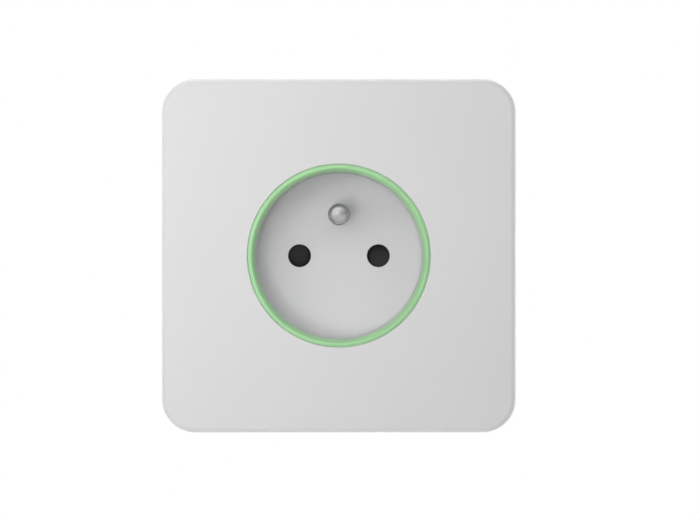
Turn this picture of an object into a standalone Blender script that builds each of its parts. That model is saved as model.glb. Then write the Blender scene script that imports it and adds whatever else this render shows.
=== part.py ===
"""A flush-mounted smart wall outlet with an earth pin and a light ring, built as its separate pieces.

Run with: blender --background --python part.py
Lengths are in metres. X runs right, Z runs up and the front faces -Y. The wall's surface is the plane y = 0,
and the origin lies on the axis of the round well.
"""

import math

import bmesh
import bpy

# Plug face
PIN_PITCH = 0.019
PIN_HOLE_DIAMETER = 0.0055
EARTH_OFFSET = 0.010
EARTH_DIAMETER = 0.0048
EARTH_REACH = 0.014
EARTH_NOSE_TILT = math.radians(24)
EARTH_TIP_FLAT = 0.0003
EARTH_TIP_RADIUS = 0.0012
EARTH_EDGE_RADIUS = 0.0019
EARTH_TAIL_RADIUS = 0.0016
EARTH_SHOULDER = 0.0010
WELL_DEPTH = 0.015

# Clearance between pieces that seat on each other, and room for a cut to run past a face
FIT = 0.0003
PAST = 0.001

# Cover plate
PLATE_SIDE = 0.085
PLATE_CORNER = 0.008
PLATE_SKIN = 0.002
PLATE_RIM = 0.002
PLATE_EDGE = 0.0012
RIB_THICKNESS = 0.0012
RIB_HEIGHT = 0.002
RIB_ROOM = 0.0021
LEG_WIDTH = 0.005
LEG_THICKNESS = 0.0016
LEG_HEIGHT = 0.012
LEG_REACH = 0.004
LEG_TIP = 0.0004
LEG_ROOM = 0.0012

# Light ring
RING_INNER_WIDTH = 0.00105
RING_OUTER_WIDTH = 0.00055
RING_INNER_FALL = 0.0019
RING_OUTER_FALL = 0.0004
RING_CREST_POWER = 1.7
RING_PROUD = 0.00025
RING_TAIL = 0.0011
FOOT_WIDTH = 0.0028
FOOT_THICKNESS = 0.0006

# Front board with its lamps and radio
LAMP_COUNT = 8
LAMP_WIDTH = 0.0016
LAMP_DEPTH = 0.0012
LAMP_HEIGHT = 0.0006
FRONT_BOARD_WIDTH = 0.0036
FRONT_BOARD_THICKNESS = 0.001
RADIO_WIDTH = 0.014
RADIO_LENGTH = 0.0045
RADIO_HEIGHT = 0.001
RADIO_BOARD = 0.0004
RADIO_STEP = 0.0004
RADIO_MARGIN = 0.0012
RIBBON_WIDTH = 0.006
RIBBON_THICKNESS = 0.0004
RIBBON_ROOM = 0.0007

# Socket insert
WELL_RADIUS = 0.0202
WELL_DRAFT = 0.0003
FLOOR_FILLET = 0.0004
FLOOR_THICKNESS = 0.002
BARREL_WALL = 0.0013
SKIRT_WALL = 0.0012
FLANGE_THICKNESS = 0.0028
PEG_RADIUS = 0.0009
PEG_REACH = 0.0006

# Shutter and its spring
SHUTTER_RAMP = 0.0012
SHUTTER_WEB = 0.0011
SHUTTER_LAP = math.radians(3.2)
PAD_STEP = 0.0015
PAD_LAP = 0.001
ARM_WIDTH = 0.0052
HUB_WALL = 0.001
POST_RADIUS = 0.002
SPRING_WIRE = 0.0005
SPRING_PITCH = 0.00095
SPRING_TURNS = 2.25
SPRING_LEG = 0.004

# Yoke
YOKE_THICKNESS = 0.0012
YOKE_MARGIN = 0.005
YOKE_CORNER = 0.005
YOKE_LIP = 0.003
YOKE_LIP_LENGTH = 0.044
PAD_SIDE = 0.008
PAD_HEIGHT = 0.0003
BOX_SCREW_PITCH = 0.060
BOX_SLOT_WIDTH = 0.0039
BOX_SLOT_LENGTH = 0.009

# Contacts and conductors
STRIP_THICKNESS = 0.0008
STRIP_WIDTH = 0.0044
CONTACT_WIDTH = 0.006
CONTACT_GRIP = 0.0044
CONTACT_FLARE = 0.0012
TAIL_WIDTH = 0.0024
TAIL_REACH = 0.0012
CARRIER_DISC = 0.002
POCKET_WALL = 0.0012

# Relay
COIL_RADIUS = 0.0034
COIL_LENGTH = 0.0098
COIL_CHEEK = 0.0008
CORE_RADIUS = 0.0012
RELAY_IRON = 0.001
RELAY_IRON_WIDTH = 0.0054
RELAY_WALL = 0.0007
RELAY_ROOM = 0.0006
RELAY_BASE = 0.0012
ARMATURE_THICKNESS = 0.0008
ARMATURE_GAP = 0.0005
RELAY_SIDE_GAP = 0.001

# Boards and the pieces on the main board
MAIN_BOARD_THICKNESS = 0.0016
MAIN_BOARD_MARGIN = 0.0006
TRANSFORMER_LEG = 0.0026
TRANSFORMER_WINDOW = 0.0022
TRANSFORMER_HEIGHT = 0.0152
TRANSFORMER_STACK = 0.004
CAPACITOR_RADIUS = 0.0026
CAPACITOR_LENGTH = 0.011
CAPACITOR_EDGE = 0.0004
CAPACITOR_CRIMP = 0.0005
CAPACITOR_CRIMP_AT = 0.0016
FUSE_RADIUS = 0.0021
FUSE_LENGTH = 0.009
FUSE_CAP = 0.0019
FUSE_STEP = 0.00025
VARISTOR_RADIUS = 0.0036
VARISTOR_THICKNESS = 0.0028
CHIP_SIDE = 0.007
CHIP_HEIGHT = 0.001
CHIP_LEADS = 8
CHIP_LEAD_PITCH = 0.0008
CHIP_LEAD_WIDTH = 0.00035
CHIP_LEAD_REACH = 0.001
CHIP_LEAD_THICKNESS = 0.0002
CHIP_LIFT = 0.0001

# Terminals
WIRE_SPACE = 0.0054
CAGE_WALL = 0.0009
CAGE_HEIGHT = 0.0058
CAGE_TRAVEL = 0.0036
CAGE_FOOT_ROOM = 0.0021
CAGE_HEAD_ROOM = 0.0026
TERMINAL_SCREW_RADIUS = 0.0015
TERMINAL_HEAD_RADIUS = 0.0023
TERMINAL_HEAD_HEIGHT = 0.0024
SCREW_SLOT_WIDTH = 0.0007
SCREW_SLOT_DEPTH = 0.0009
WIRE_HOLE_RADIUS = 0.0019
DRIVER_HOLE_RADIUS = 0.002
FUNNEL = 0.0005

# Rear housing and its screws
HOUSING_WALL = 0.0018
HOUSING_CORNER = 0.014
HOUSING_EDGE = 0.0015
BARRIER_THICKNESS = 0.001
COLUMN_BITE = 0.0004
COLUMN_LENGTH = 0.016
STAND_RADIUS = 0.0018
STAND_INSET = 0.0054
SCREW_RADIUS = 0.00135
SCREW_HEAD_RADIUS = 0.0026
SCREW_HEAD_HEIGHT = 0.0013
SCREW_LENGTH = 0.0155
SCREW_SEAT = 0.001

# Facets of round shapes
ROUND = 48
SMALL_ROUND = 16
CORNER_STEPS = 6
EDGE_STEPS = 4

# Levels along Y, from the wall forward to the plate
yoke_back = -PAD_HEIGHT
yoke_front = yoke_back - YOKE_THICKNESS
flange_back = yoke_front - FIT
flange_front = flange_back - FLANGE_THICKNESS
front_board_back = flange_front - FIT
front_board_front = front_board_back - FRONT_BOARD_THICKNESS
lamp_back = front_board_front - FIT
foot_back = lamp_back - LAMP_HEIGHT - FIT
foot_front = foot_back - FOOT_THICKNESS
plate_back = foot_front - FIT
plate_front = plate_back - PLATE_SKIN
ring_back = foot_back + RING_TAIL
mouth = ring_back + FIT

# Levels along Y, from the well's floor back to the rear wall
floor_front = plate_front + WELL_DEPTH
floor_back = floor_front + FLOOR_THICKNESS
shutter_front = floor_back + FIT
shutter_web = shutter_front + SHUTTER_RAMP
shutter_back = shutter_web + SHUTTER_WEB
spring_front = shutter_back + FIT
carrier_front = spring_front + SPRING_TURNS * SPRING_PITCH + SPRING_WIRE + FIT
carrier_back = carrier_front + CARRIER_DISC
relay_front = carrier_back + FIT
relay_depth = RELAY_WALL + RELAY_ROOM + RELAY_IRON + FIT + 2 * COIL_RADIUS + FIT + RELAY_BASE
strip_back = relay_front + relay_depth
strip_front = strip_back - STRIP_THICKNESS
tower_end = strip_front - FIT
main_front = strip_back + FIT
main_back = main_front + MAIN_BOARD_THICKNESS
cage_back = strip_back + FIT + CAGE_WALL
cage_front = strip_front - WIRE_SPACE - CAGE_WALL
head_front = cage_back + CAGE_TRAVEL + FIT
head_back = head_front + TERMINAL_HEAD_HEIGHT
rear_inner = max(head_back, main_back + FIT + 2 * CAPACITOR_RADIUS) + FIT
rear_outer = rear_inner + HOUSING_WALL
housing_front = yoke_back + FIT

# Places across X and Z
ring_outer = WELL_RADIUS + RING_INNER_WIDTH + RING_OUTER_WIDTH
barrel_radius = WELL_RADIUS + BARREL_WALL
chamber_radius = barrel_radius - SKIRT_WALL
plate_hole = ring_outer + FIT
front_board_radius = barrel_radius + FIT + FRONT_BOARD_WIDTH
rib_start = front_board_radius + RIB_ROOM
pin_x = PIN_PITCH / 2
pocket_half_width = CONTACT_GRIP / 2 + CONTACT_FLARE / 2 + STRIP_THICKNESS + FIT
pocket_half_height = CONTACT_WIDTH / 2 + FIT
tower_top = pocket_half_height + POCKET_WALL
ribbon_low = barrel_radius + RIBBON_ROOM
relay_half_width = COIL_RADIUS + RELAY_ROOM + RELAY_WALL
relay_x = STRIP_WIDTH / 2 + RELAY_SIDE_GAP + relay_half_width
relay_low = tower_top + RELAY_SIDE_GAP
core_low = relay_low + RELAY_WALL + RELAY_ROOM
coil_low = core_low + RELAY_IRON + FIT
coil_high = coil_low + COIL_LENGTH
core_high = coil_high + 2 * FIT
armature_low = core_high + ARMATURE_GAP
relay_high = armature_low + ARMATURE_THICKNESS + 2 * RELAY_ROOM + RELAY_WALL
housing_inner = max(ribbon_low + RIBBON_THICKNESS + 2 * FIT, relay_high + 3 * FIT)
housing_half = housing_inner + HOUSING_WALL
inner_corner = HOUSING_CORNER - HOUSING_WALL
wall_diagonal = math.sqrt(2) * (housing_inner - inner_corner) + inner_corner
column_radius = (wall_diagonal + COLUMN_BITE - barrel_radius - FIT) / 2
column = (barrel_radius + FIT + column_radius) / math.sqrt(2)
leg_x = housing_half + LEG_ROOM + LEG_THICKNESS / 2
yoke_half = PLATE_SIDE / 2 - PLATE_RIM - YOKE_MARGIN
terminal_z = -(housing_inner - CAGE_FOOT_ROOM - CAGE_HEIGHT / 2)
strip_low = terminal_z - CAGE_HEIGHT / 2 - PAST
main_low = terminal_z + CAGE_HEIGHT / 2 + CAGE_HEAD_ROOM
main_half = housing_inner - MAIN_BOARD_MARGIN
lamp_radius = ring_outer + FOOT_WIDTH / 2
peg_radius_at = barrel_radius + 2 * PEG_RADIUS
radio_high = -(front_board_radius + FIT)
tab_low = radio_high - RADIO_LENGTH - RADIO_MARGIN
DIAGONALS = [(1, 1), (-1, 1), (-1, -1), (1, -1)]


def clear_scene():
    for obj in list(bpy.data.objects):
        bpy.data.objects.remove(obj, do_unlink=True)


def finish(name, colour, roughness, metallic=0.0):
    material = bpy.data.materials.new(name)
    material.use_nodes = True
    shader = material.node_tree.nodes["Principled BSDF"]
    shader.inputs["Base Color"].default_value = (*colour, 1.0)
    shader.inputs["Roughness"].default_value = roughness
    shader.inputs["Metallic"].default_value = metallic
    return material


def circle(radius, x=0.0, z=0.0, count=SMALL_ROUND):
    turns = [2 * math.pi * step / count for step in range(count)]
    return [(x + radius * math.cos(t), z + radius * math.sin(t)) for t in turns]


def rounded_rect(width, height, radius, x=0.0, z=0.0, steps=CORNER_STEPS):
    points = []
    for corner, (sx, sz) in enumerate(DIAGONALS):
        for step in range(steps + 1):
            angle = math.pi / 2 * (corner + step / steps)
            cx = x + sx * (width / 2 - radius)
            cz = z + sz * (height / 2 - radius)
            points.append((cx + radius * math.cos(angle), cz + radius * math.sin(angle)))
    return points


def rect(x0, x1, z0, z1):
    return [(x0, z0), (x1, z0), (x1, z1), (x0, z1)]


def loft(rings, closed=False):
    """A skin through rings of as many points each, with flat ends or closed on itself."""
    count = len(rings[0])
    faces = []
    for i in range(len(rings) if closed else len(rings) - 1):
        j = (i + 1) % len(rings)
        for k in range(count):
            m = (k + 1) % count
            faces.append((i * count + k, i * count + m, j * count + m, j * count + k))
    if not closed:
        faces.append(tuple(range(count)))
        faces.append(tuple(range((len(rings) - 1) * count, len(rings) * count)))
    return [point for ring in rings for point in ring], faces


def prism(outline, low, high, axis="Y"):
    """An outline pushed along an axis. It is given in (x, z) along Y, (x, y) along Z and (y, z) along X."""
    order = {
        "X": lambda a, b, level: (level, a, b),
        "Y": lambda a, b, level: (a, level, b),
        "Z": lambda a, b, level: (a, b, level),
    }[axis]
    return loft([[order(a, b, level) for a, b in outline] for level in (low, high)])


def block(x0, x1, y0, y1, z0, z1):
    return prism(rect(x0, x1, z0, z1), y0, y1)


def rod(radius, low, high, x=0.0, z=0.0, count=SMALL_ROUND):
    return prism(circle(radius, x, z, count), low, high)


def turned(profile, x=0.0, z=0.0, count=ROUND, closed=False):
    """A profile of (radius, y) points turned about the Y direction."""
    rings = [[(a, y, b) for a, b in circle(radius, x, z, count)] for radius, y in profile]
    return loft(rings, closed)


def turned_upright(stations, x, y, closed=False):
    """Stations of (radius, z) turned about a line along Z."""
    return loft([[(a, b, z) for a, b in circle(radius, x, y)] for radius, z in stations], closed)


def spun(shell, angle):
    """The shell turned about the Y axis, with positive angles from X towards Z."""
    points, faces = shell
    c, s = math.cos(angle), math.sin(angle)
    return [(x * c - z * s, y, x * s + z * c) for x, y, z in points], faces


def edge_rounded(side, corner, plain_end, round_end, radius):
    """A square prism along Y with round corners and a rounded edge at one end."""
    way = math.copysign(1.0, round_end - plain_end)
    rings = [(0.0, plain_end)]
    for step in range(EDGE_STEPS + 1):
        angle = math.pi / 2 * step / EDGE_STEPS
        rings.append((radius * (1 - math.cos(angle)), round_end - way * radius * (1 - math.sin(angle))))
    return loft(
        [
            [(x, y, z) for x, z in rounded_rect(side - 2 * inset, side - 2 * inset, corner - inset)]
            for inset, y in rings
        ]
    )


def mesh_of(name, shells):
    bm = bmesh.new()
    for points, faces in shells:
        verts = [bm.verts.new(point) for point in points]
        for face in faces:
            bm.faces.new([verts[index] for index in face])
    bmesh.ops.recalc_face_normals(bm, faces=bm.faces)
    mesh = bpy.data.meshes.new(name)
    bm.to_mesh(mesh)
    bm.free()
    return mesh


def piece(name, material, body, steps=(), at=(0.0, 0.0, 0.0), turn=0.0):
    """One named piece: its body, then the shells joined to it and cut from it in order."""
    obj = bpy.data.objects.new(name, mesh_of(name, [body]))
    obj.data.materials.append(material)
    obj.location = at
    obj.rotation_euler = (0.0, turn, 0.0)
    bpy.context.collection.objects.link(obj)
    for number, (operation, shells) in enumerate(steps, start=1):
        tool = bpy.data.objects.new(f"{name}_tool_{number}", mesh_of(f"{name}_tool_{number}", shells))
        tool.parent = obj
        tool.hide_render = True
        tool.display_type = "WIRE"
        bpy.context.collection.objects.link(tool)
        modifier = obj.modifiers.new(f"{operation.lower()}_{number}", "BOOLEAN")
        modifier.operation = operation
        modifier.solver = "EXACT"
        modifier.object = tool
    obj.data.shade_smooth()
    obj.data.set_sharp_from_angle(angle=math.radians(35))
    return obj


def cover_plate(material):
    """Moulded square plate, hollow behind its face, with four legs that slide into the yoke's windows."""
    body = edge_rounded(PLATE_SIDE, PLATE_CORNER, 0.0, plate_front, PLATE_EDGE)
    inside = PLATE_SIDE - 2 * PLATE_RIM
    hollow = prism(rounded_rect(inside, inside, PLATE_CORNER - PLATE_RIM), plate_back, PAST)
    hole = rod(plate_hole, plate_front - PAST, plate_back + PAST, count=ROUND)
    rib_end = math.sqrt(2) * (inside / 2 - (PLATE_CORNER - PLATE_RIM)) + PLATE_CORNER - PLATE_RIM / 2
    half_rib = RIB_THICKNESS / 2
    rib = block(rib_start, rib_end, plate_back - FIT, plate_back + RIB_HEIGHT, -half_rib, half_rib)
    ribs = [spun(rib, math.pi / 4 + math.pi / 2 * quarter) for quarter in range(4)]
    legs = [cover_leg(sx * leg_x, sz * LEG_HEIGHT) for sx, sz in DIAGONALS]
    steps = [("DIFFERENCE", [hollow]), ("DIFFERENCE", [hole]), ("UNION", ribs + legs)]
    piece("cover_plate", material, body, steps)


def cover_leg(x, z):
    """A leg along Y whose tip is drawn in on all sides, so that it finds its window."""
    rings = []
    for y, inset in ((plate_back - FIT, 0.0), (LEG_REACH - LEG_TIP, 0.0), (LEG_REACH, LEG_TIP)):
        half_x, half_z = LEG_THICKNESS / 2 - inset, LEG_WIDTH / 2 - inset
        rings.append([(a, y, b) for a, b in rect(x - half_x, x + half_x, z - half_z, z + half_z)])
    return loft(rings)


def light_ring(material):
    """Turned diffuser: a crest, steep towards the well, a foot over the lamps and a tail on the insert."""
    crest_level = plate_front - RING_PROUD
    crest_radius = WELL_RADIUS + RING_INNER_WIDTH
    inner, outer = (RING_INNER_WIDTH, RING_INNER_FALL), (RING_OUTER_WIDTH, RING_OUTER_FALL)
    profile = [(WELL_RADIUS, ring_back)]
    for step in range(-EDGE_STEPS, EDGE_STEPS + 1):
        share = step / EDGE_STEPS
        reach, fall = inner if step < 0 else outer
        profile.append((crest_radius + share * reach, crest_level + fall * abs(share) ** RING_CREST_POWER))
    profile += [
        (ring_outer, foot_front),
        (ring_outer + FOOT_WIDTH, foot_front),
        (ring_outer + FOOT_WIDTH, foot_back),
        (barrel_radius, foot_back),
        (barrel_radius, ring_back),
    ]
    piece("light_ring", material, turned(profile, closed=True))


def front_board(board_finish, lamp_finish, radio_finish):
    """Ring-shaped board on the insert's pegs, with the lamps under the ring's foot and the radio on a tab."""
    disc = rod(front_board_radius, front_board_front, front_board_back, count=ROUND)
    tab_half = RADIO_WIDTH / 2 + RADIO_MARGIN
    tab = block(-tab_half, tab_half, front_board_front, front_board_back, tab_low, -barrel_radius - PAST)
    through = (front_board_front - PAST, front_board_back + PAST)
    hole = rod(barrel_radius + FIT, *through, count=ROUND)
    peg_holes = [rod(PEG_RADIUS + FIT, *through, x, z) for x, z in peg_places()]
    steps = [("UNION", [tab]), ("DIFFERENCE", [hole]), ("DIFFERENCE", peg_holes)]
    piece("led_board", board_finish, disc, steps)
    lamp = block(-LAMP_DEPTH / 2, LAMP_DEPTH / 2, -LAMP_HEIGHT, 0.0, -LAMP_WIDTH / 2, LAMP_WIDTH / 2)
    for number in range(LAMP_COUNT):
        angle = 2 * math.pi * (number + 0.5) / LAMP_COUNT
        place = (lamp_radius * math.cos(angle), lamp_back, lamp_radius * math.sin(angle))
        piece(f"led_{number + 1}", lamp_finish, lamp, at=place, turn=-angle)
    radio_back = front_board_front - FIT
    radio_front = radio_back - RADIO_HEIGHT
    half, low, high = RADIO_WIDTH / 2, radio_high - RADIO_LENGTH, radio_high
    carrier = block(-half, half, radio_back - RADIO_BOARD, radio_back, low, high)
    half, low, high = half - RADIO_STEP, low + RADIO_STEP, high - RADIO_STEP
    lid = block(-half, half, radio_front, radio_back - RADIO_BOARD / 2, low, high)
    piece("radio_module", radio_finish, carrier, [("UNION", [lid])])


def peg_places():
    return [(peg_radius_at, 0.0), (-peg_radius_at, 0.0), (0.0, -peg_radius_at)]


def board_ribbon(material):
    """Flat cable between the two boards, in the gap outside the insert's barrel."""
    high = ribbon_low + RIBBON_THICKNESS
    cable = block(
        -RIBBON_WIDTH / 2, RIBBON_WIDTH / 2, front_board_back + FIT, main_front - FIT, ribbon_low, high
    )
    piece("board_ribbon", material, cable)


def ribbon_slot(front, back):
    half = RIBBON_WIDTH / 2 + FIT
    return block(-half, half, front, back, ribbon_low - FIT, ribbon_low + RIBBON_THICKNESS + FIT)


def socket_insert(material):
    """Moulded cup: well, floor with three pin openings, flange on the yoke and skirt round the shutter."""
    side = 2 * housing_half
    flange = prism(rounded_rect(side, side, HOUSING_CORNER), flange_front, flange_back)
    barrel = rod(barrel_radius, mouth, carrier_back, count=ROUND)
    pegs = [rod(PEG_RADIUS, flange_back - PAST, front_board_front - PEG_REACH, x, z) for x, z in peg_places()]
    floor_radius = WELL_RADIUS - WELL_DRAFT
    well = [(WELL_RADIUS, mouth - PAST), (WELL_RADIUS, mouth)]
    for step in range(EDGE_STEPS + 1):
        angle = math.pi / 2 * step / EDGE_STEPS
        radius = floor_radius - FLOOR_FILLET * (1 - math.cos(angle))
        well.append((radius, floor_front - FLOOR_FILLET * (1 - math.sin(angle))))
    chamber = rod(chamber_radius, floor_back, carrier_back + PAST, count=ROUND)
    holes = [rod(PIN_HOLE_DIAMETER / 2, floor_front - PAST, floor_back + PAST, x) for x in (-pin_x, pin_x)]
    holes.append(rod(EARTH_DIAMETER / 2 + FIT, floor_front - PAST, floor_back + PAST, z=EARTH_OFFSET))
    seat = flange_back - SCREW_SEAT
    bored = [
        (SCREW_HEAD_RADIUS + FIT, flange_front - PAST),
        (SCREW_HEAD_RADIUS + FIT, seat),
        (SCREW_RADIUS + FIT, seat),
        (SCREW_RADIUS + FIT, flange_back + PAST),
    ]
    holes += [turned(bored, sx * column, sz * column, SMALL_ROUND) for sx, sz in DIAGONALS]
    holes.append(ribbon_slot(flange_front - PAST, flange_back + PAST))
    steps = [
        ("UNION", [barrel]),
        ("UNION", pegs),
        ("DIFFERENCE", [turned(well), chamber]),
        ("DIFFERENCE", holes),
    ]
    piece("socket_insert", material, flange, steps)


def earth_pin(material):
    """Turned pin with a blunt nose, a shoulder trapped behind the floor and a tail riveted to the strap."""
    radius = EARTH_DIAMETER / 2
    tip = floor_front - EARTH_REACH
    first = math.asin(EARTH_TIP_FLAT / EARTH_TIP_RADIUS)
    profile = []
    for step in range(EDGE_STEPS + 1):
        tilt = first + (EARTH_NOSE_TILT - first) * step / EDGE_STEPS
        gone = EARTH_TIP_RADIUS * (math.cos(first) - math.cos(tilt))
        profile.append((EARTH_TIP_RADIUS * math.sin(tilt), tip + gone))
    cone_start, cone_level = profile[-1]
    cone_end = radius - EARTH_EDGE_RADIUS * (1 - math.sin(EARTH_NOSE_TILT))
    edge_level = cone_level + (cone_end - cone_start) * math.tan(EARTH_NOSE_TILT)
    edge_level += EARTH_EDGE_RADIUS * math.cos(EARTH_NOSE_TILT)
    for step in range(EDGE_STEPS + 1):
        tilt = EARTH_NOSE_TILT + (math.pi / 2 - EARTH_NOSE_TILT) * step / EDGE_STEPS
        edge = radius - EARTH_EDGE_RADIUS * (1 - math.sin(tilt))
        profile.append((edge, edge_level - EARTH_EDGE_RADIUS * math.cos(tilt)))
    profile += [
        (radius, floor_back + FIT),
        (radius + EARTH_SHOULDER, floor_back + FIT),
        (radius + EARTH_SHOULDER, carrier_front - FIT),
        (EARTH_TAIL_RADIUS, carrier_front - FIT),
        (EARTH_TAIL_RADIUS, strip_back),
    ]
    piece("earth_pin", material, turned(profile, z=EARTH_OFFSET, count=ROUND // 2))


def shutter(material):
    """Rotor on the carrier's post: two ramped pads close the pin holes and swing aside for both pins."""
    half_span = math.asin(PIN_HOLE_DIAMETER / PIN_PITCH) + SHUTTER_LAP
    pad_inner = pin_x - PAD_STEP
    pad_outer = pin_x + PIN_HOLE_DIAMETER / 2 + PAD_LAP
    sections = []
    pad_steps = 2 * EDGE_STEPS
    for step in range(pad_steps + 1):
        angle = half_span * (2 * step / pad_steps - 1)
        front = shutter_front + SHUTTER_RAMP * step / pad_steps
        corners = rect(pad_inner, pad_outer, front, shutter_back)
        sections.append([(r * math.cos(angle), y, r * math.sin(angle)) for r, y in corners])
    pad = loft(sections)
    arm_end, half_arm = pad_inner + PAST, ARM_WIDTH / 2
    arm = block(-arm_end, arm_end, shutter_web + FIT, shutter_back - FIT, -half_arm, half_arm)
    bore = POST_RADIUS + FIT
    hub = rod(bore + HUB_WALL, shutter_front + FIT, carrier_front - FIT)
    bore_cut = rod(bore, shutter_front - PAST, carrier_front + PAST)
    steps = [("UNION", [hub]), ("UNION", [pad, spun(pad, math.pi)]), ("DIFFERENCE", [bore_cut])]
    piece("shutter", material, arm, steps)


def shutter_spring(material):
    """Torsion spring round the shutter's hub, one unbroken wire with a straight leg at each end."""
    coil = POST_RADIUS + FIT + HUB_WALL + FIT + SPRING_WIRE
    points_per_turn = 14
    count = round(SPRING_TURNS * points_per_turn)
    sides = circle(SPRING_WIRE / 2, count=6)
    start = spring_front + SPRING_WIRE / 2
    centres, rings = [], []
    for step in range(-1, count + 2):
        inside = min(max(step, 0), count)
        angle = 2 * math.pi * inside / points_per_turn
        along = SPRING_LEG * (step - inside)
        out = (math.cos(angle), math.sin(angle))
        y = start + SPRING_PITCH * inside / points_per_turn
        x, z = coil * out[0] - along * out[1], coil * out[1] + along * out[0]
        centres.append((x, y, z))
        rings.append([(x + a * out[0], y + b, z + a * out[1]) for a, b in sides])
    apart = points_per_turn // 2
    gaps = [math.dist(p, q) for i, p in enumerate(centres) for q in centres[i + apart :]]
    print(f"shutter_spring: least gap to itself {1000 * (min(gaps) - SPRING_WIRE):.2f} mm")
    piece("shutter_spring", material, loft(rings))


def mounting_yoke(material):
    """Pressed steel plate behind the insert's flange, with slots at a wall box's standard screw pitch."""
    plate = prism(rounded_rect(2 * yoke_half, 2 * yoke_half, YOKE_CORNER), yoke_front, yoke_back)
    pad_middle = yoke_half - PAD_SIDE / 2 - YOKE_CORNER * (1 - math.sqrt(0.5)) - FIT
    raised = [
        block(
            sx * pad_middle - PAD_SIDE / 2,
            sx * pad_middle + PAD_SIDE / 2,
            yoke_back - FIT,
            0.0,
            sz * pad_middle - PAD_SIDE / 2,
            sz * pad_middle + PAD_SIDE / 2,
        )
        for sx, sz in DIAGONALS
    ]
    lip_low, lip_high = yoke_half - YOKE_THICKNESS, yoke_half
    half_lip = YOKE_LIP_LENGTH / 2
    lips = [
        block(low, high, yoke_front - YOKE_LIP, yoke_front + FIT, -half_lip, half_lip)
        for low, high in ((lip_low, lip_high), (-lip_high, -lip_low))
    ]
    through = (yoke_front - PAST, yoke_back + PAST)
    opening = rod(barrel_radius + FIT, *through, count=ROUND)
    slot_at = BOX_SCREW_PITCH / 2
    wide, long = BOX_SLOT_WIDTH, BOX_SLOT_LENGTH
    slots = [prism(rounded_rect(wide, long, wide / 2, x=s * slot_at, steps=5), *through) for s in (-1, 1)]
    slots += [prism(rounded_rect(long, wide, wide / 2, z=s * slot_at, steps=5), *through) for s in (-1, 1)]
    half_window, half_leg = LEG_THICKNESS / 2 + FIT, LEG_WIDTH / 2 + FIT
    windows = [
        block(
            sx * leg_x - half_window,
            sx * leg_x + half_window,
            *through,
            sz * LEG_HEIGHT - half_leg,
            sz * LEG_HEIGHT + half_leg,
        )
        for sx, sz in DIAGONALS
    ]
    screw_holes = [rod(SCREW_RADIUS + FIT, *through, sx * column, sz * column) for sx, sz in DIAGONALS]
    steps = [
        ("UNION", raised + lips),
        ("DIFFERENCE", [opening] + slots + windows + screw_holes),
        ("DIFFERENCE", [ribbon_slot(*through)]),
    ]
    piece("mounting_yoke", material, plate, steps)


def contact_carrier(material):
    """Moulded disc inside the insert's skirt, with the shutter's post and a pocket for each pin contact."""
    disc = rod(chamber_radius - FIT, carrier_front, carrier_back, count=ROUND)
    post = rod(POST_RADIUS, floor_back + FIT, carrier_front + FIT)
    half_width = pocket_half_width + POCKET_WALL
    towers, pockets, passages = [], [], []
    for x in (-pin_x, pin_x):
        low, high = x - half_width, x + half_width
        towers.append(block(low, high, carrier_back - FIT, tower_end, -tower_top, tower_top))
        low, high = x - pocket_half_width, x + pocket_half_width
        pocket = block(low, high, carrier_back, tower_end + PAST, -pocket_half_height, pocket_half_height)
        pockets.append(pocket)
        passages.append(rod(PIN_HOLE_DIAMETER / 2 + FIT, carrier_front - PAST, carrier_back + PAST, x))
    passages.append(rod(EARTH_TAIL_RADIUS + FIT, carrier_front - PAST, carrier_back + PAST, z=EARTH_OFFSET))
    steps = [("UNION", [post] + towers), ("DIFFERENCE", pockets), ("DIFFERENCE", passages)]
    piece("contact_carrier", material, disc, steps)


def contact_outline(x):
    """Plan of a pin contact in (x, y): two sprung leaves drawn in at the grip and flared at the mouth."""
    tip = carrier_back + FIT
    grip_level = tip + (strip_front - tip) / 3
    base_half = (CONTACT_GRIP + CONTACT_FLARE / 2) / 2
    mouth_half = (CONTACT_GRIP + CONTACT_FLARE) / 2
    half_gaps = [(base_half, strip_front), (CONTACT_GRIP / 2, grip_level), (mouth_half, tip)]
    outer = [(half + STRIP_THICKNESS, y) for half, y in half_gaps]
    right = [(base_half + STRIP_THICKNESS, strip_back)] + outer + half_gaps[::-1]
    left = [(-half, y) for half, y in right[::-1]]
    return [(x + half, y) for half, y in right + left]


def solder_tail(x, z):
    half_width, half_thickness = TAIL_WIDTH / 2, STRIP_THICKNESS / 2
    low, high = z - half_thickness, z + half_thickness
    return block(x - half_width, x + half_width, strip_front, main_back + TAIL_REACH, low, high)


def strip(x, low, high):
    return block(x - STRIP_WIDTH / 2, x + STRIP_WIDTH / 2, strip_front, strip_back, low, high)


def line_tail_z():
    return main_low + TAIL_WIDTH


def conductors(material):
    """Stamped brass: two pin contacts, the earth pin's strap and the bar from line terminal to board."""
    half = CONTACT_WIDTH / 2
    live = prism(contact_outline(-pin_x), -half, half, axis="Z")
    piece("live_contact", material, live, [("UNION", [solder_tail(-pin_x, 0.0)])])
    neutral = prism(contact_outline(pin_x), -half, half, axis="Z")
    steps = [("UNION", [strip(pin_x, strip_low, PAST - half)]), ("UNION", [solder_tail(pin_x, 0.0)])]
    piece("neutral_contact", material, neutral, steps)
    earth = strip(0.0, strip_low, EARTH_OFFSET + STRIP_WIDTH / 2)
    rivet_hole = rod(EARTH_TAIL_RADIUS + FIT, strip_front - PAST, strip_back + PAST, z=EARTH_OFFSET)
    piece("earth_strap", material, earth, [("DIFFERENCE", [rivet_hole])])
    line = strip(-pin_x, strip_low, line_tail_z() + TAIL_WIDTH / 2)
    piece("line_bar", material, line, [("UNION", [solder_tail(-pin_x, line_tail_z())])])


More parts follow.
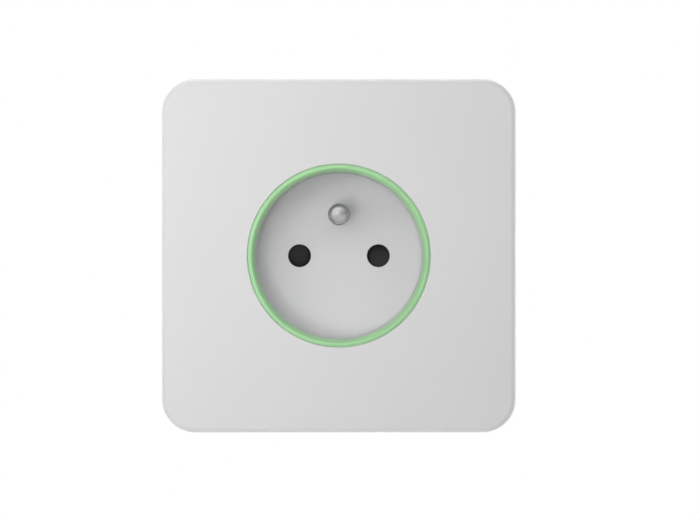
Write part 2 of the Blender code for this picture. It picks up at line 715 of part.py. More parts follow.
def main_board(material):
    """Board behind the contacts, cut off above the terminals, with a slot for each soldered tail."""
    corner = inner_corner - MAIN_BOARD_MARGIN
    board = prism(rounded_rect(2 * main_half, 2 * main_half, corner), main_front, main_back)
    through = (main_front - PAST, main_back + PAST)
    below = block(-housing_half, housing_half, *through, -housing_half, main_low)
    half_width, half_height = TAIL_WIDTH / 2 + FIT, STRIP_THICKNESS / 2 + FIT
    slots = [
        block(x - half_width, x + half_width, *through, z - half_height, z + half_height)
        for x, z in ((-pin_x, 0.0), (pin_x, 0.0), (-pin_x, line_tail_z()))
    ]
    piece("main_board", material, board, [("DIFFERENCE", [below]), ("DIFFERENCE", slots)])


def relay(case_finish, winding_finish, iron_finish):
    """Sealed switching relay on the board's front, with its coil, iron core and hinged armature."""
    x0, x1 = relay_x - relay_half_width, relay_x + relay_half_width
    case = block(x0, x1, relay_front, strip_back, relay_low, relay_high)
    hollow = block(
        x0 + RELAY_WALL,
        x1 - RELAY_WALL,
        relay_front + RELAY_WALL,
        strip_back + PAST,
        relay_low + RELAY_WALL,
        relay_high - RELAY_WALL,
    )
    piece("relay_cover", case_finish, case, [("DIFFERENCE", [hollow])])
    inset = RELAY_WALL + FIT
    low, high = relay_low + inset, relay_high - inset
    base = block(x0 + inset, x1 - inset, strip_back - RELAY_BASE, strip_back, low, high)
    piece("relay_base", case_finish, base)
    leg_front = relay_front + RELAY_WALL + RELAY_ROOM
    leg_back = leg_front + RELAY_IRON
    coil_y = leg_back + FIT + COIL_RADIUS
    foot_end = strip_back - RELAY_BASE - FIT
    half_iron = RELAY_IRON_WIDTH / 2
    iron_sides = (relay_x - half_iron, relay_x + half_iron)
    foot = block(*iron_sides, leg_front, foot_end, core_low, core_low + RELAY_IRON)
    leg = block(*iron_sides, leg_front, leg_back, core_low + FIT, core_high)
    core = prism(circle(CORE_RADIUS, relay_x, coil_y), core_low + FIT, core_high, axis="Z")
    piece("relay_core", iron_finish, foot, [("UNION", [leg, core])])
    waist = COIL_RADIUS - COIL_CHEEK
    stations = [
        (COIL_RADIUS, coil_low),
        (COIL_RADIUS, coil_low + COIL_CHEEK),
        (waist, coil_low + COIL_CHEEK),
        (waist, coil_high - COIL_CHEEK),
        (COIL_RADIUS, coil_high - COIL_CHEEK),
        (COIL_RADIUS, coil_high),
        (CORE_RADIUS + FIT, coil_high),
        (CORE_RADIUS + FIT, coil_low),
    ]
    piece("relay_coil", winding_finish, turned_upright(stations, relay_x, coil_y, closed=True))
    hinge = (relay_x, (leg_front + leg_back) / 2, armature_low)
    reach = foot_end - hinge[1]
    flap = block(-half_iron, half_iron, -RELAY_IRON / 2, reach, 0.0, ARMATURE_THICKNESS)
    piece("relay_armature", iron_finish, flap, at=hinge)


def transformer(iron_finish, winding_finish):
    """Isolating transformer on the board's front: a two-window core with the winding round its middle leg."""
    half_leg = TRANSFORMER_LEG / 2
    outer_half = half_leg + TRANSFORMER_WINDOW + half_leg
    middle_x = -(STRIP_WIDTH / 2 + RELAY_SIDE_GAP + outer_half)
    low = tower_top + RELAY_SIDE_GAP
    high = low + TRANSFORMER_HEIGHT
    wind_half = half_leg + TRANSFORMER_WINDOW - FIT
    wind_build = TRANSFORMER_WINDOW - 2 * FIT
    wind_back = strip_back
    core_back = wind_back - wind_build - FIT
    core_front = core_back - TRANSFORMER_STACK
    core = block(middle_x - outer_half, middle_x + outer_half, core_front, core_back, low, high)
    windows = [
        block(
            middle_x + side * (half_leg + TRANSFORMER_WINDOW / 2) - TRANSFORMER_WINDOW / 2,
            middle_x + side * (half_leg + TRANSFORMER_WINDOW / 2) + TRANSFORMER_WINDOW / 2,
            core_front - PAST,
            core_back + PAST,
            low + half_leg,
            high - half_leg,
        )
        for side in (-1, 1)
    ]
    piece("transformer_core", iron_finish, core, [("DIFFERENCE", windows)])
    wind_low, wind_high = low + half_leg + FIT, high - half_leg - FIT
    middle_y = (core_front + core_back) / 2
    deep = core_back - core_front + 2 * (wind_build + FIT)
    outline = rounded_rect(2 * wind_half, deep, wind_build, middle_x, middle_y, steps=3)
    winding = prism(outline, wind_low, wind_high, axis="Z")
    half_hole, half_deep = half_leg + FIT, (core_back - core_front) / 2 + FIT
    leg_hole = prism(
        rect(middle_x - half_hole, middle_x + half_hole, middle_y - half_deep, middle_y + half_deep),
        wind_low - PAST,
        wind_high + PAST,
        axis="Z",
    )
    piece("transformer_winding", winding_finish, winding, [("DIFFERENCE", [leg_hole])])


def board_back_pieces(can_finish, fuse_finish, varistor_finish, chip_finish):
    """Capacitor and fuse lying on the back of the main board, with the varistor and the processor."""
    seat = main_back + FIT
    side_x = main_half / 2
    low = tower_top
    high, crimp = low + CAPACITOR_LENGTH, low + CAPACITOR_CRIMP_AT
    can = [
        (CAPACITOR_RADIUS - CAPACITOR_EDGE, low),
        (CAPACITOR_RADIUS, low + CAPACITOR_EDGE),
        (CAPACITOR_RADIUS, crimp - CAPACITOR_CRIMP),
        (CAPACITOR_RADIUS - CAPACITOR_CRIMP, crimp),
        (CAPACITOR_RADIUS, crimp + CAPACITOR_CRIMP),
        (CAPACITOR_RADIUS, high - CAPACITOR_EDGE),
        (CAPACITOR_RADIUS - CAPACITOR_EDGE, high),
    ]
    piece("filter_capacitor", can_finish, turned_upright(can, -side_x, seat + CAPACITOR_RADIUS))
    high = low + FUSE_LENGTH
    cartridge = [
        (FUSE_RADIUS, low),
        (FUSE_RADIUS, low + FUSE_CAP),
        (FUSE_RADIUS - FUSE_STEP, low + FUSE_CAP),
        (FUSE_RADIUS - FUSE_STEP, high - FUSE_CAP),
        (FUSE_RADIUS, high - FUSE_CAP),
        (FUSE_RADIUS, high),
    ]
    piece("fuse", fuse_finish, turned_upright(cartridge, side_x, seat + FUSE_RADIUS))
    disc_z = low + CAPACITOR_LENGTH / 2 + VARISTOR_RADIUS
    edge = VARISTOR_THICKNESS / 4
    disc = [
        (VARISTOR_RADIUS - edge, seat),
        (VARISTOR_RADIUS, seat + edge),
        (VARISTOR_RADIUS, seat + VARISTOR_THICKNESS - edge),
        (VARISTOR_RADIUS - edge, seat + VARISTOR_THICKNESS),
    ]
    piece("varistor", varistor_finish, turned(disc, z=disc_z, count=SMALL_ROUND))
    half = CHIP_SIDE / 2
    chip_z = -half
    body = block(-half, half, seat + CHIP_LIFT, seat + CHIP_HEIGHT, chip_z - half, chip_z + half)
    reach, half_lead = half + CHIP_LEAD_REACH, CHIP_LEAD_WIDTH / 2
    lead_levels = (seat, seat + CHIP_LEAD_THICKNESS)
    across, along = [], []
    for number in range(CHIP_LEADS):
        offset = CHIP_LEAD_PITCH * (number - (CHIP_LEADS - 1) / 2)
        z = chip_z + offset
        across.append(block(-reach, reach, *lead_levels, z - half_lead, z + half_lead))
        low, high = offset - half_lead, offset + half_lead
        along.append(block(low, high, *lead_levels, chip_z - reach, chip_z + reach))
    piece("processor_chip", chip_finish, body, [("UNION", across), ("UNION", along)])


def terminals(cage_finish, screw_finish):
    """Line, earth and neutral terminals: a cage round the strip, which its screw draws back on the wire."""
    half_width = STRIP_WIDTH / 2 + FIT + CAGE_WALL
    half_height = CAGE_HEIGHT / 2
    for name, x in (("line", -pin_x), ("earth", 0.0), ("neutral", pin_x)):
        body = block(-half_width, half_width, cage_front, cage_back, -half_height, half_height)
        inside = block(
            CAGE_WALL - half_width,
            half_width - CAGE_WALL,
            cage_front + CAGE_WALL,
            cage_back - CAGE_WALL,
            -half_height - PAST,
            half_height + PAST,
        )
        thread = rod(TERMINAL_SCREW_RADIUS + FIT, cage_back - CAGE_WALL - PAST, cage_back + PAST)
        steps = [("DIFFERENCE", [inside]), ("DIFFERENCE", [thread])]
        piece(f"terminal_cage_{name}", cage_finish, body, steps, at=(x, 0.0, terminal_z))
        tip = strip_back + FIT
        profile = [
            (TERMINAL_SCREW_RADIUS - FIT, tip),
            (TERMINAL_SCREW_RADIUS, tip + FIT),
            (TERMINAL_SCREW_RADIUS, head_front),
            (TERMINAL_HEAD_RADIUS, head_front),
            (TERMINAL_HEAD_RADIUS, head_back - FIT),
            (TERMINAL_HEAD_RADIUS - FIT, head_back),
        ]
        slot = block(
            -TERMINAL_HEAD_RADIUS - PAST,
            TERMINAL_HEAD_RADIUS + PAST,
            head_back - SCREW_SLOT_DEPTH,
            head_back + PAST,
            -SCREW_SLOT_WIDTH / 2,
            SCREW_SLOT_WIDTH / 2,
        )
        screw = turned(profile, count=SMALL_ROUND)
        steps = [("DIFFERENCE", [slot])]
        piece(f"terminal_screw_{name}", screw_finish, screw, steps, at=(x, 0.0, terminal_z))


def rear_housing(material):
    """Moulded cup behind the yoke: screw columns, barriers between the terminals, wire and driver holes."""
    cup = edge_rounded(2 * housing_half, HOUSING_CORNER, housing_front, rear_outer, HOUSING_EDGE)
    inside = 2 * housing_inner
    hollow = prism(rounded_rect(inside, inside, inner_corner), housing_front - PAST, rear_inner)
    columns = [
        rod(column_radius, housing_front, housing_front + COLUMN_LENGTH, sx * column, sz * column)
        for sx, sz in DIAGONALS
    ]
    middle = pin_x / 2
    barriers = [
        block(
            x - BARRIER_THICKNESS / 2,
            x + BARRIER_THICKNESS / 2,
            cage_front,
            rear_inner + FIT,
            -housing_inner - FIT,
            main_low - FIT,
        )
        for x in (-middle, middle)
    ]
    stand_x = stand_high = main_half - STAND_INSET
    stand_low = main_low + 2 * STAND_RADIUS
    stands = [
        rod(STAND_RADIUS, main_back + FIT, rear_inner + FIT, x, z)
        for x in (-stand_x, stand_x)
        for z in (stand_low, stand_high)
    ]
    pilots = [
        rod(
            SCREW_RADIUS + FIT,
            housing_front - PAST,
            housing_front + COLUMN_LENGTH - PAST,
            sx * column,
            sz * column,
        )
        for sx, sz in DIAGONALS
    ]
    wire_y = strip_front - WIRE_SPACE / 2
    entry = [
        (WIRE_HOLE_RADIUS + FUNNEL + PAST, -housing_half - PAST),
        (WIRE_HOLE_RADIUS, -housing_half + FUNNEL),
        (WIRE_HOLE_RADIUS, -housing_inner + HOUSING_WALL),
    ]
    driver = [
        (DRIVER_HOLE_RADIUS + FUNNEL + PAST, rear_outer + PAST),
        (DRIVER_HOLE_RADIUS, rear_outer - FUNNEL),
        (DRIVER_HOLE_RADIUS, rear_inner - PAST),
    ]
    entries, drivers = [], []
    for x in (-pin_x, 0.0, pin_x):
        entries.append(turned_upright(entry, x, wire_y))
        drivers.append(turned(driver, x, terminal_z, SMALL_ROUND))
    steps = [
        ("DIFFERENCE", [hollow]),
        ("UNION", columns + barriers + stands),
        ("DIFFERENCE", pilots + entries + drivers),
    ]
    piece("rear_housing", material, cup, steps)


def housing_screws(material):
    """Four screws through the insert's flange and the yoke into the housing's columns."""
    head_seat = flange_back - SCREW_SEAT - FIT
    profile = [
        (SCREW_HEAD_RADIUS - FIT, head_seat - SCREW_HEAD_HEIGHT),
        (SCREW_HEAD_RADIUS, head_seat - SCREW_HEAD_HEIGHT + FIT),
        (SCREW_HEAD_RADIUS, head_seat),
        (SCREW_RADIUS, head_seat),
        (SCREW_RADIUS, head_seat + SCREW_LENGTH - PAST),
        (SCREW_RADIUS / 3, head_seat + SCREW_LENGTH),
    ]
    for number, (sx, sz) in enumerate(DIAGONALS, start=1):
        screw = turned(profile, count=SMALL_ROUND)
        piece(f"housing_screw_{number}", material, screw, at=(sx * column, 0.0, sz * column))


def build():
    clear_scene()
    white = finish("white_cover", (0.74, 0.74, 0.74), 0.45)
    well_white = finish("well_white", (0.68, 0.68, 0.67), 0.5)
    diffuser = finish("green_diffuser", (0.33, 0.66, 0.33), 0.35)
    dark = finish("dark_moulding", (0.03, 0.03, 0.035), 0.55)
    nickel = finish("nickel", (0.55, 0.55, 0.54), 0.3, 1.0)
    brass = finish("brass", (0.70, 0.52, 0.22), 0.35, 1.0)
    steel = finish("zinc_steel", (0.60, 0.61, 0.62), 0.4, 1.0)
    iron = finish("soft_iron", (0.30, 0.30, 0.31), 0.5, 1.0)
    green_board = finish("board_green", (0.03, 0.16, 0.07), 0.5)
    white_board = finish("board_white", (0.80, 0.80, 0.78), 0.5)
    lamp = finish("lamp_resin", (0.85, 0.82, 0.55), 0.3)
    ribbon = finish("ribbon_white", (0.75, 0.75, 0.72), 0.5)
    carrier = finish("carrier_grey", (0.35, 0.36, 0.37), 0.55)
    case_blue = finish("relay_blue", (0.05, 0.12, 0.30), 0.4)
    copper = finish("copper_winding", (0.60, 0.25, 0.10), 0.4, 1.0)
    tape = finish("winding_tape", (0.75, 0.60, 0.10), 0.5)
    can = finish("capacitor_sleeve", (0.04, 0.05, 0.08), 0.35)
    ceramic = finish("fuse_ceramic", (0.80, 0.79, 0.74), 0.4)
    disc_blue = finish("varistor_blue", (0.05, 0.20, 0.50), 0.4)
    chip = finish("chip_black", (0.02, 0.02, 0.02), 0.5)
    housing = finish("housing_grey", (0.55, 0.56, 0.56), 0.5)
    cover_plate(white)
    light_ring(diffuser)
    front_board(white_board, lamp, steel)
    board_ribbon(ribbon)
    socket_insert(well_white)
    earth_pin(nickel)
    shutter(dark)
    shutter_spring(steel)
    mounting_yoke(steel)
    contact_carrier(carrier)
    conductors(brass)
    main_board(green_board)
    relay(case_blue, copper, iron)
    transformer(iron, tape)
    board_back_pieces(can, ceramic, disc_blue, chip)
    terminals(steel, steel)
    rear_housing(housing)
    housing_screws(steel)


build()
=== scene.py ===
import math

import bmesh
import bpy
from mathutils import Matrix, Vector


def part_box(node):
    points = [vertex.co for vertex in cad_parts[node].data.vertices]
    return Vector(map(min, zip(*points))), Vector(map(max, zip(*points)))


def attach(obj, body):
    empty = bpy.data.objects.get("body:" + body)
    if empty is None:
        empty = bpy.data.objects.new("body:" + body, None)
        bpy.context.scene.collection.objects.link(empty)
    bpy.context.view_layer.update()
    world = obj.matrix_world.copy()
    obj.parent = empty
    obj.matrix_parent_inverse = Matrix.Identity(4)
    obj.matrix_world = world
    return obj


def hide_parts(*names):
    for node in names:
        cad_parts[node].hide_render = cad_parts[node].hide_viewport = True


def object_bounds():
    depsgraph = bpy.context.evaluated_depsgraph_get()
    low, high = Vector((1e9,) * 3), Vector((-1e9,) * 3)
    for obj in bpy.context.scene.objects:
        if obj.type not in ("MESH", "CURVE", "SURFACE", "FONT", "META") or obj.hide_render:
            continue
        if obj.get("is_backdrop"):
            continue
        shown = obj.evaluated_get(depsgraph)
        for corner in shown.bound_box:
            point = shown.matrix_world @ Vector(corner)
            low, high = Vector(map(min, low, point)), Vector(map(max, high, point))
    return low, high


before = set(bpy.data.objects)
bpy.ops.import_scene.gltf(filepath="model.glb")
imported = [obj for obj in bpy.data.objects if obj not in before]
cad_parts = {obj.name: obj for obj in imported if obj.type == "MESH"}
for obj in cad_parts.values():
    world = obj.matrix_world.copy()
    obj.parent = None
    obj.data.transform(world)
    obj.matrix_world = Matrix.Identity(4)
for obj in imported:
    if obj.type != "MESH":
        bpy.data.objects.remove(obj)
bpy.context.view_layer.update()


# Socket insert: the cup that the plug goes into, with its flange, its skirt and the pegs for the front board.
# One moulding in white thermoplastic, with a fine eroded grain on the faces that show.
# The four housing screws clamp its flange against the yoke.
PAST = 0.001
CLEARANCE = 0.0003
WELD_REACH = 0.000001
CREASE = math.radians(32)
ROUND, SMALL_ROUND, TINY_ROUND = 160, 48, 32
CORNERS = [(1, 1), (-1, 1), (-1, -1), (1, -1)]
WELL_RADIUS = 0.0202
WELL_DRAFT = 0.0003
WELL_DEPTH = 0.015
WELL_FILLET = 0.0003
FLOOR_THICKNESS = 0.002
BARREL_WALL = 0.0013
SKIRT_WALL = 0.0012
FLANGE_CORNER = 0.014
FLANGE_THICKNESS = 0.0028
PEG_RADIUS = 0.0009
PIN_X = 0.0095
PIN_HOLE_RADIUS = 0.00275
PIN_HOLE_EDGE = 0.00012
EARTH_RADIUS = 0.0024
EARTH_ROOM = 0.00016
SCREW_SEAT = 0.001
SCREW_SHANK = 0.00135
INSERT_WHITE = (0.678, 0.664, 0.684)
WHITE = (1.0, 1.0, 1.0)
# Painted shade: the well's floor darkens towards the wall between these distances from the axis, and at the
# wall the shade is greened as painted light from the ring.
PAINTED_SHADE_REACH = (0.0189, 0.0199)
PAINTED_CORNER_SHADE = (0.94, 0.94, 0.94)
PAINTED_GREEN_CORNER_SHADE = (0.895, 0.96, 0.885)
CLOUD_SCALE = 45.0
GLOSS_SCALE = 260.0
GLOSS_SPREAD = 0.05
GRAIN_DEPTH = 0.000012


def circle(radius, y, x=0.0, z=0.0, count=ROUND):
    turns = [2 * math.pi * step / count for step in range(count)]
    return [(x + radius * math.cos(t), y, z + radius * math.sin(t)) for t in turns]


def rounded_square(side, corner, y, corner_steps=16, side_steps=24):
    """Points of a square with round corners in the plane of y, from the right side round by the top."""
    straight = side / 2 - corner
    points = []
    for quarter in range(4):
        turn = math.pi / 2 * quarter
        c, s = math.cos(turn), math.sin(turn)
        run = [(side / 2, straight * (2 * step / side_steps - 1)) for step in range(side_steps)]
        for step in range(corner_steps):
            angle = math.pi / 2 * step / corner_steps
            run.append((straight + corner * math.cos(angle), straight + corner * math.sin(angle)))
        points += [(a * c - b * s, y, a * s + b * c) for a, b in run]
    return points


def quarter_round(radius, steps=4):
    """How far a quarter circle has gone in and along at each step, from the side to the face."""
    angles = [math.pi / 2 * step / steps for step in range(steps + 1)]
    return [(radius * (1 - math.cos(angle)), radius * math.sin(angle)) for angle in angles]


def rounded_end(radius, level, edge, way=1, steps=4):
    """Points of a turned profile that rounds off towards its end at a level."""
    return [(radius - gone, level + way * (along - edge)) for gone, along in quarter_round(edge, steps)]


def loft(rings, closed=False):
    """A skin through rings of as many points each, with flat ends or closed on itself."""
    count = len(rings[0])
    faces = []
    for i in range(len(rings) if closed else len(rings) - 1):
        j = (i + 1) % len(rings)
        for k in range(count):
            m = (k + 1) % count
            faces.append((i * count + k, i * count + m, j * count + m, j * count + k))
    if not closed:
        faces.append(tuple(range(count)))
        faces.append(tuple(range((len(rings) - 1) * count, len(rings) * count)))
    return [point for ring in rings for point in ring], faces


def turned(profile, x=0.0, z=0.0, count=ROUND):
    """A profile of (radius, y) points turned about a line along Y."""
    return loft([circle(radius, y, x, z, count) for radius, y in profile])


def cylinder(radius, start, end, x=0.0, z=0.0, count=ROUND):
    return turned([(radius, start), (radius, end)], x, z, count)


def bar(x0, x1, y0, y1, z0, z1):
    outline = [(x0, z0), (x1, z0), (x1, z1), (x0, z1)]
    return loft([[(x, y, z) for x, z in outline] for y in (y0, y1)])


def hole_tool(radius, front, back, x, z, edge, count=72):
    """A cutter along Y for a hole whose front edge is softly rounded."""
    profile = [(radius + edge, front - PAST)]
    profile += [(radius + edge - along, front + gone) for gone, along in quarter_round(edge)]
    profile.append((radius, back + PAST))
    return turned(profile, x, z, count)


def placed(name, data):
    """A new object at the scene's origin."""
    thing = bpy.data.objects.new(name, data)
    bpy.context.scene.collection.objects.link(thing)
    return thing


def part_from(name, shells):
    """A new object whose mesh holds closed shells with their faces pointing out."""
    bm = bmesh.new()
    for points, faces in shells:
        verts = [bm.verts.new(point) for point in points]
        for face in faces:
            bm.faces.new([verts[index] for index in face])
    bmesh.ops.recalc_face_normals(bm, faces=bm.faces)
    mesh = bpy.data.meshes.new(name)
    bm.to_mesh(mesh)
    bm.free()
    return placed(name, mesh)


def make_plain(part):
    """Turns what the modifiers give into the object's own mesh."""
    bpy.context.view_layer.update()
    shaped_part = part.evaluated_get(bpy.context.evaluated_depsgraph_get())
    mesh = bpy.data.meshes.new_from_object(shaped_part)
    part.modifiers.clear()
    part.data = mesh


def clean(part):
    """Merges points that lie on top of each other and turns every face outwards."""
    bm = bmesh.new()
    bm.from_mesh(part.data)
    bmesh.ops.remove_doubles(bm, verts=bm.verts, dist=WELD_REACH)
    bmesh.ops.recalc_face_normals(bm, faces=bm.faces)
    bm.to_mesh(part.data)
    bm.free()


def carve(part, steps):
    """Joins shells to the part and cuts others from it, in order, and keeps the result as its mesh."""
    tools = []
    for operation, shells in steps:
        tool = part_from(f"{part.name}_tool", shells)
        tool.hide_render = True
        tools.append(tool)
        change = part.modifiers.new(operation.lower(), "BOOLEAN")
        change.operation = operation
        change.solver = "EXACT"
        change.object = tool
    make_plain(part)
    for tool in tools:
        bpy.data.objects.remove(tool)
    clean(part)


def smooth(part, crease=CREASE):
    """Shades round faces smooth, keeps creases sharp and lets flat faces rule the shading."""
    part.data.shade_smooth()
    part.data.set_sharp_from_angle(angle=crease)
    flats = part.modifiers.new("flats", "WEIGHTED_NORMAL")
    flats.keep_sharp = True
    make_plain(part)


def shaped(name, shell, steps=(), crease=CREASE):
    """A shaded part from one shell, with others joined to it and cut from it."""
    part = part_from(name, [shell])
    if steps:
        carve(part, steps)
    smooth(part, crease)
    return part


def stands_for(part, material, body, slot, *nodes):
    """Gives the part its finish and its body, and hides the solids that it stands for."""
    part.data.materials.clear()
    part.data.materials.append(material)
    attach(part, body)
    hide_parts(*nodes)


def feed(node, feeds):
    """Gives a node's inputs their values, or links them where a socket is given."""
    for label, value in feeds.items():
        if isinstance(value, bpy.types.NodeSocket):
            node.id_data.links.new(value, node.inputs[label])
        else:
            node.inputs[label].default_value = value


def add_node(owner, kind, feeds=None, **settings):
    """A new node in a tree, or in the tree that a node or a socket belongs to."""
    node = owner.id_data.nodes.new(kind)
    for setting, value in settings.items():
        setattr(node, setting, value)
    feed(node, feeds or {})
    return node


def blank_finish(name):
    """A new material with its shader and the object's coordinates."""
    material = bpy.data.materials.new(name)
    material.use_nodes = True
    shader = material.node_tree.nodes["Principled BSDF"]
    return material, shader, add_node(shader, "ShaderNodeTexCoord").outputs["Object"]


def noise(vector, scale, detail=2.0):
    feeds = {"Vector": vector, "Scale": scale, "Detail": detail}
    return add_node(vector, "ShaderNodeTexNoise", feeds).outputs["Fac"]


def between(value, low, high, start=0.0, end=1.0):
    """Maps a value that runs from start to end onto low to high."""
    feeds = {"Value": value, "From Min": start, "From Max": end, "To Min": low, "To Max": high}
    return add_node(value, "ShaderNodeMapRange", feeds).outputs["Result"]


def shades(value, stops):
    """A colour ramp through (place, colour) stops."""
    node = add_node(value, "ShaderNodeValToRGB", {"Fac": value})
    elements = node.color_ramp.elements
    while len(elements) < len(stops):
        elements.new(1.0)
    for element, (place, colour) in zip(elements, stops):
        element.position = place
        element.color = (*colour, 1.0)
    return node.outputs["Color"]


def two_tone(value, dark, light, start=0.3, end=0.7):
    return shades(value, [(start, dark), (end, light)])


def relief(shader, height, depth, strength):
    """Raises and lowers the surface by a height pattern of that depth in metres."""
    bump = add_node(shader, "ShaderNodeBump", {"Height": height, "Distance": depth, "Strength": strength})
    feed(shader, {"Normal": bump.outputs["Normal"]})


def darker(colour, share):
    return tuple(channel * share for channel in colour)


def uneven(pattern, roughness, spread):
    """A roughness that a pattern raises and lowers."""
    return between(pattern, roughness - spread, roughness + spread)


def moulded(name, colour, roughness, clouding=0.985, grain=5200.0):
    """Moulded plastic: faint flow clouds in the colour, uneven gloss and a fine eroded grain."""
    material, shader, place = blank_finish(name)
    clouds = noise(place, CLOUD_SCALE, detail=3.0)
    tint = two_tone(clouds, darker(colour, clouding), colour)
    gloss = uneven(noise(place, GLOSS_SCALE, detail=3.0), roughness, GLOSS_SPREAD)
    feed(shader, {"Base Color": tint, "Roughness": gloss})
    relief(shader, noise(place, grain, detail=1.0), GRAIN_DEPTH, strength=0.3)
    return material


def vector_maths(operation, *values):
    feeds = dict(enumerate(values))
    return add_node(values[0], "ShaderNodeVectorMath", feeds, operation=operation).outputs


def paint_corner_shade(material):
    """Paints shade into the corner of the well's floor and its side, greened there as painted light from the
    ring.
    """
    shader = material.node_tree.nodes["Principled BSDF"]
    plain = shader.inputs["Base Color"].links[0].from_socket
    place = add_node(shader, "ShaderNodeTexCoord").outputs["Object"]
    flat = vector_maths("MULTIPLY", place, (1.0, 0.0, 1.0))["Vector"]
    share = between(vector_maths("LENGTH", flat)["Value"], 0.0, 1.0, *PAINTED_SHADE_REACH)
    # Painted shade towards the wall, then painted green ring light at the wall itself.
    tint = shades(share, [(0.0, WHITE), (0.6, PAINTED_CORNER_SHADE), (1.0, PAINTED_GREEN_CORNER_SHADE)])
    feed(shader, {"Base Color": vector_maths("MULTIPLY", plain, tint)["Vector"]})
    return material


plate_low, plate_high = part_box("cover_plate")
ring_low, ring_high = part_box("light_ring")
insert_low, insert_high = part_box("socket_insert")
pin_low, pin_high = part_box("earth_pin")
screw_low, screw_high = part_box("housing_screw_1")
ribbon_low, ribbon_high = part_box("board_ribbon")
_, front_board_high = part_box("led_board")
plate_front = plate_low.y
mouth = ring_high.y + CLEARANCE
floor_front = plate_front + WELL_DEPTH
floor_back = floor_front + FLOOR_THICKNESS
flange_front = front_board_high.y + CLEARANCE
flange_back = flange_front + FLANGE_THICKNESS
flange_side = insert_high.x - insert_low.x
barrel_radius = WELL_RADIUS + BARREL_WALL
chamber_radius = barrel_radius - SKIRT_WALL
peg_at = barrel_radius + 2 * PEG_RADIUS
earth_z = (pin_low.z + pin_high.z) / 2
column_at = (screw_low.x + screw_high.x) / 2
columns = [(sx * column_at, sz * column_at) for sx, sz in CORNERS]
screw_head_radius = (screw_high.x - screw_low.x) / 2
screw_hole_radius = SCREW_SHANK + CLEARANCE
seat = flange_back - SCREW_SEAT

flange = loft([rounded_square(flange_side, FLANGE_CORNER, y) for y in (flange_front, flange_back)])
barrel = cylinder(barrel_radius, mouth, insert_high.y)
pegs = [
    cylinder(PEG_RADIUS, flange_back - PAST, insert_low.y, x, z, TINY_ROUND)
    for x, z in ((peg_at, 0.0), (-peg_at, 0.0), (0.0, -peg_at))
]
well_profile = [(WELL_RADIUS, mouth - PAST), (WELL_RADIUS, mouth)]
well_profile += rounded_end(WELL_RADIUS - WELL_DRAFT, floor_front, WELL_FILLET, steps=10)
chamber = cylinder(chamber_radius, floor_back, insert_high.y + PAST)
pin_holes = [(PIN_HOLE_RADIUS, -PIN_X, 0.0), (PIN_HOLE_RADIUS, PIN_X, 0.0)]
pin_holes.append((EARTH_RADIUS + EARTH_ROOM, 0.0, earth_z))
openings = [hole_tool(radius, floor_front, floor_back, x, z, PIN_HOLE_EDGE) for radius, x, z in pin_holes]
counterbore = [
    (screw_head_radius + CLEARANCE, flange_front - PAST),
    (screw_head_radius + CLEARANCE, seat),
    (screw_hole_radius, seat),
    (screw_hole_radius, flange_back + PAST),
]
openings += [turned(counterbore, x, z, SMALL_ROUND) for x, z in columns]
ribbon_way = (ribbon_low.x - CLEARANCE, ribbon_high.x + CLEARANCE)
ribbon_gap = (ribbon_low.z - CLEARANCE, ribbon_high.z + CLEARANCE)
openings.append(bar(*ribbon_way, flange_front - PAST, flange_back + PAST, *ribbon_gap))
insert_steps = [
    ("UNION", [barrel]),
    ("UNION", pegs),
    ("DIFFERENCE", [turned(well_profile), chamber]),
    ("DIFFERENCE", openings),
]
socket_insert = shaped("insert_moulding", flange, insert_steps)
# The insert's colour carries painted shade in the well's corner, greened as painted light from the ring.
insert_finish = paint_corner_shade(moulded("insert_white", INSERT_WHITE, roughness=0.5))
stands_for(socket_insert, insert_finish, "base", "well_white", "socket_insert")


# Earth pin: stands in the well and enters the plug first. Brass bar turned to a blunt cone and nickel plated.
# Its shoulder is trapped behind the floor and its tail is riveted to the earth strap.
NOSE_TILT = math.radians(24)
NOSE_TIP_RADIUS = 0.0012
NOSE_TIP_STEPS = 8
NOSE_SHOULDER = 0.0016
NOSE_SHOULDER_STEPS = 10
TAIL_RADIUS = 0.0016
NICKEL_DARK, NICKEL_LIGHT = (0.72, 0.72, 0.715), (0.82, 0.82, 0.815)


def turned_nickel():
    """Satin nickel with fine lathe lines round the pin's own axis."""
    material, shader, place = blank_finish("turned_nickel")
    centre = add_node(place, "ShaderNodeMapping", {"Vector": place, "Location": (0.0, 0.0, -earth_z)})
    feeds = {"Vector": centre.outputs["Vector"], "Scale": 1900.0, "Distortion": 2.0}
    lines = add_node(place, "ShaderNodeTexWave", feeds, wave_type="RINGS", rings_direction="Y")
    wear = noise(place, scale=900.0, detail=3.0)
    tint = two_tone(wear, NICKEL_DARK, NICKEL_LIGHT, start=0.35)
    feed(shader, {"Base Color": tint, "Roughness": between(wear, low=0.3, high=0.42), "Metallic": 1.0})
    relief(shader, lines.outputs["Fac"], depth=0.000004, strength=0.25)
    return material


_, shutter_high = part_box("shutter")
nose = []
for step in range(1, NOSE_TIP_STEPS + 1):
    tilt = NOSE_TILT * step / NOSE_TIP_STEPS
    nose.append((NOSE_TIP_RADIUS * math.sin(tilt), pin_low.y + NOSE_TIP_RADIUS * (1 - math.cos(tilt))))
cone_end = EARTH_RADIUS - NOSE_SHOULDER * (1 - math.sin(NOSE_TILT))
cone_level = nose[-1][1] + (cone_end - nose[-1][0]) * math.tan(NOSE_TILT)
shoulder_level = cone_level + NOSE_SHOULDER * math.cos(NOSE_TILT)
for step in range(NOSE_SHOULDER_STEPS + 1):
    tilt = NOSE_TILT + (math.pi / 2 - NOSE_TILT) * step / NOSE_SHOULDER_STEPS
    radius = EARTH_RADIUS - NOSE_SHOULDER * (1 - math.sin(tilt))
    nose.append((radius, shoulder_level - NOSE_SHOULDER * math.cos(tilt)))
collar_radius = (pin_high.x - pin_low.x) / 2
collar_back = shutter_high.y
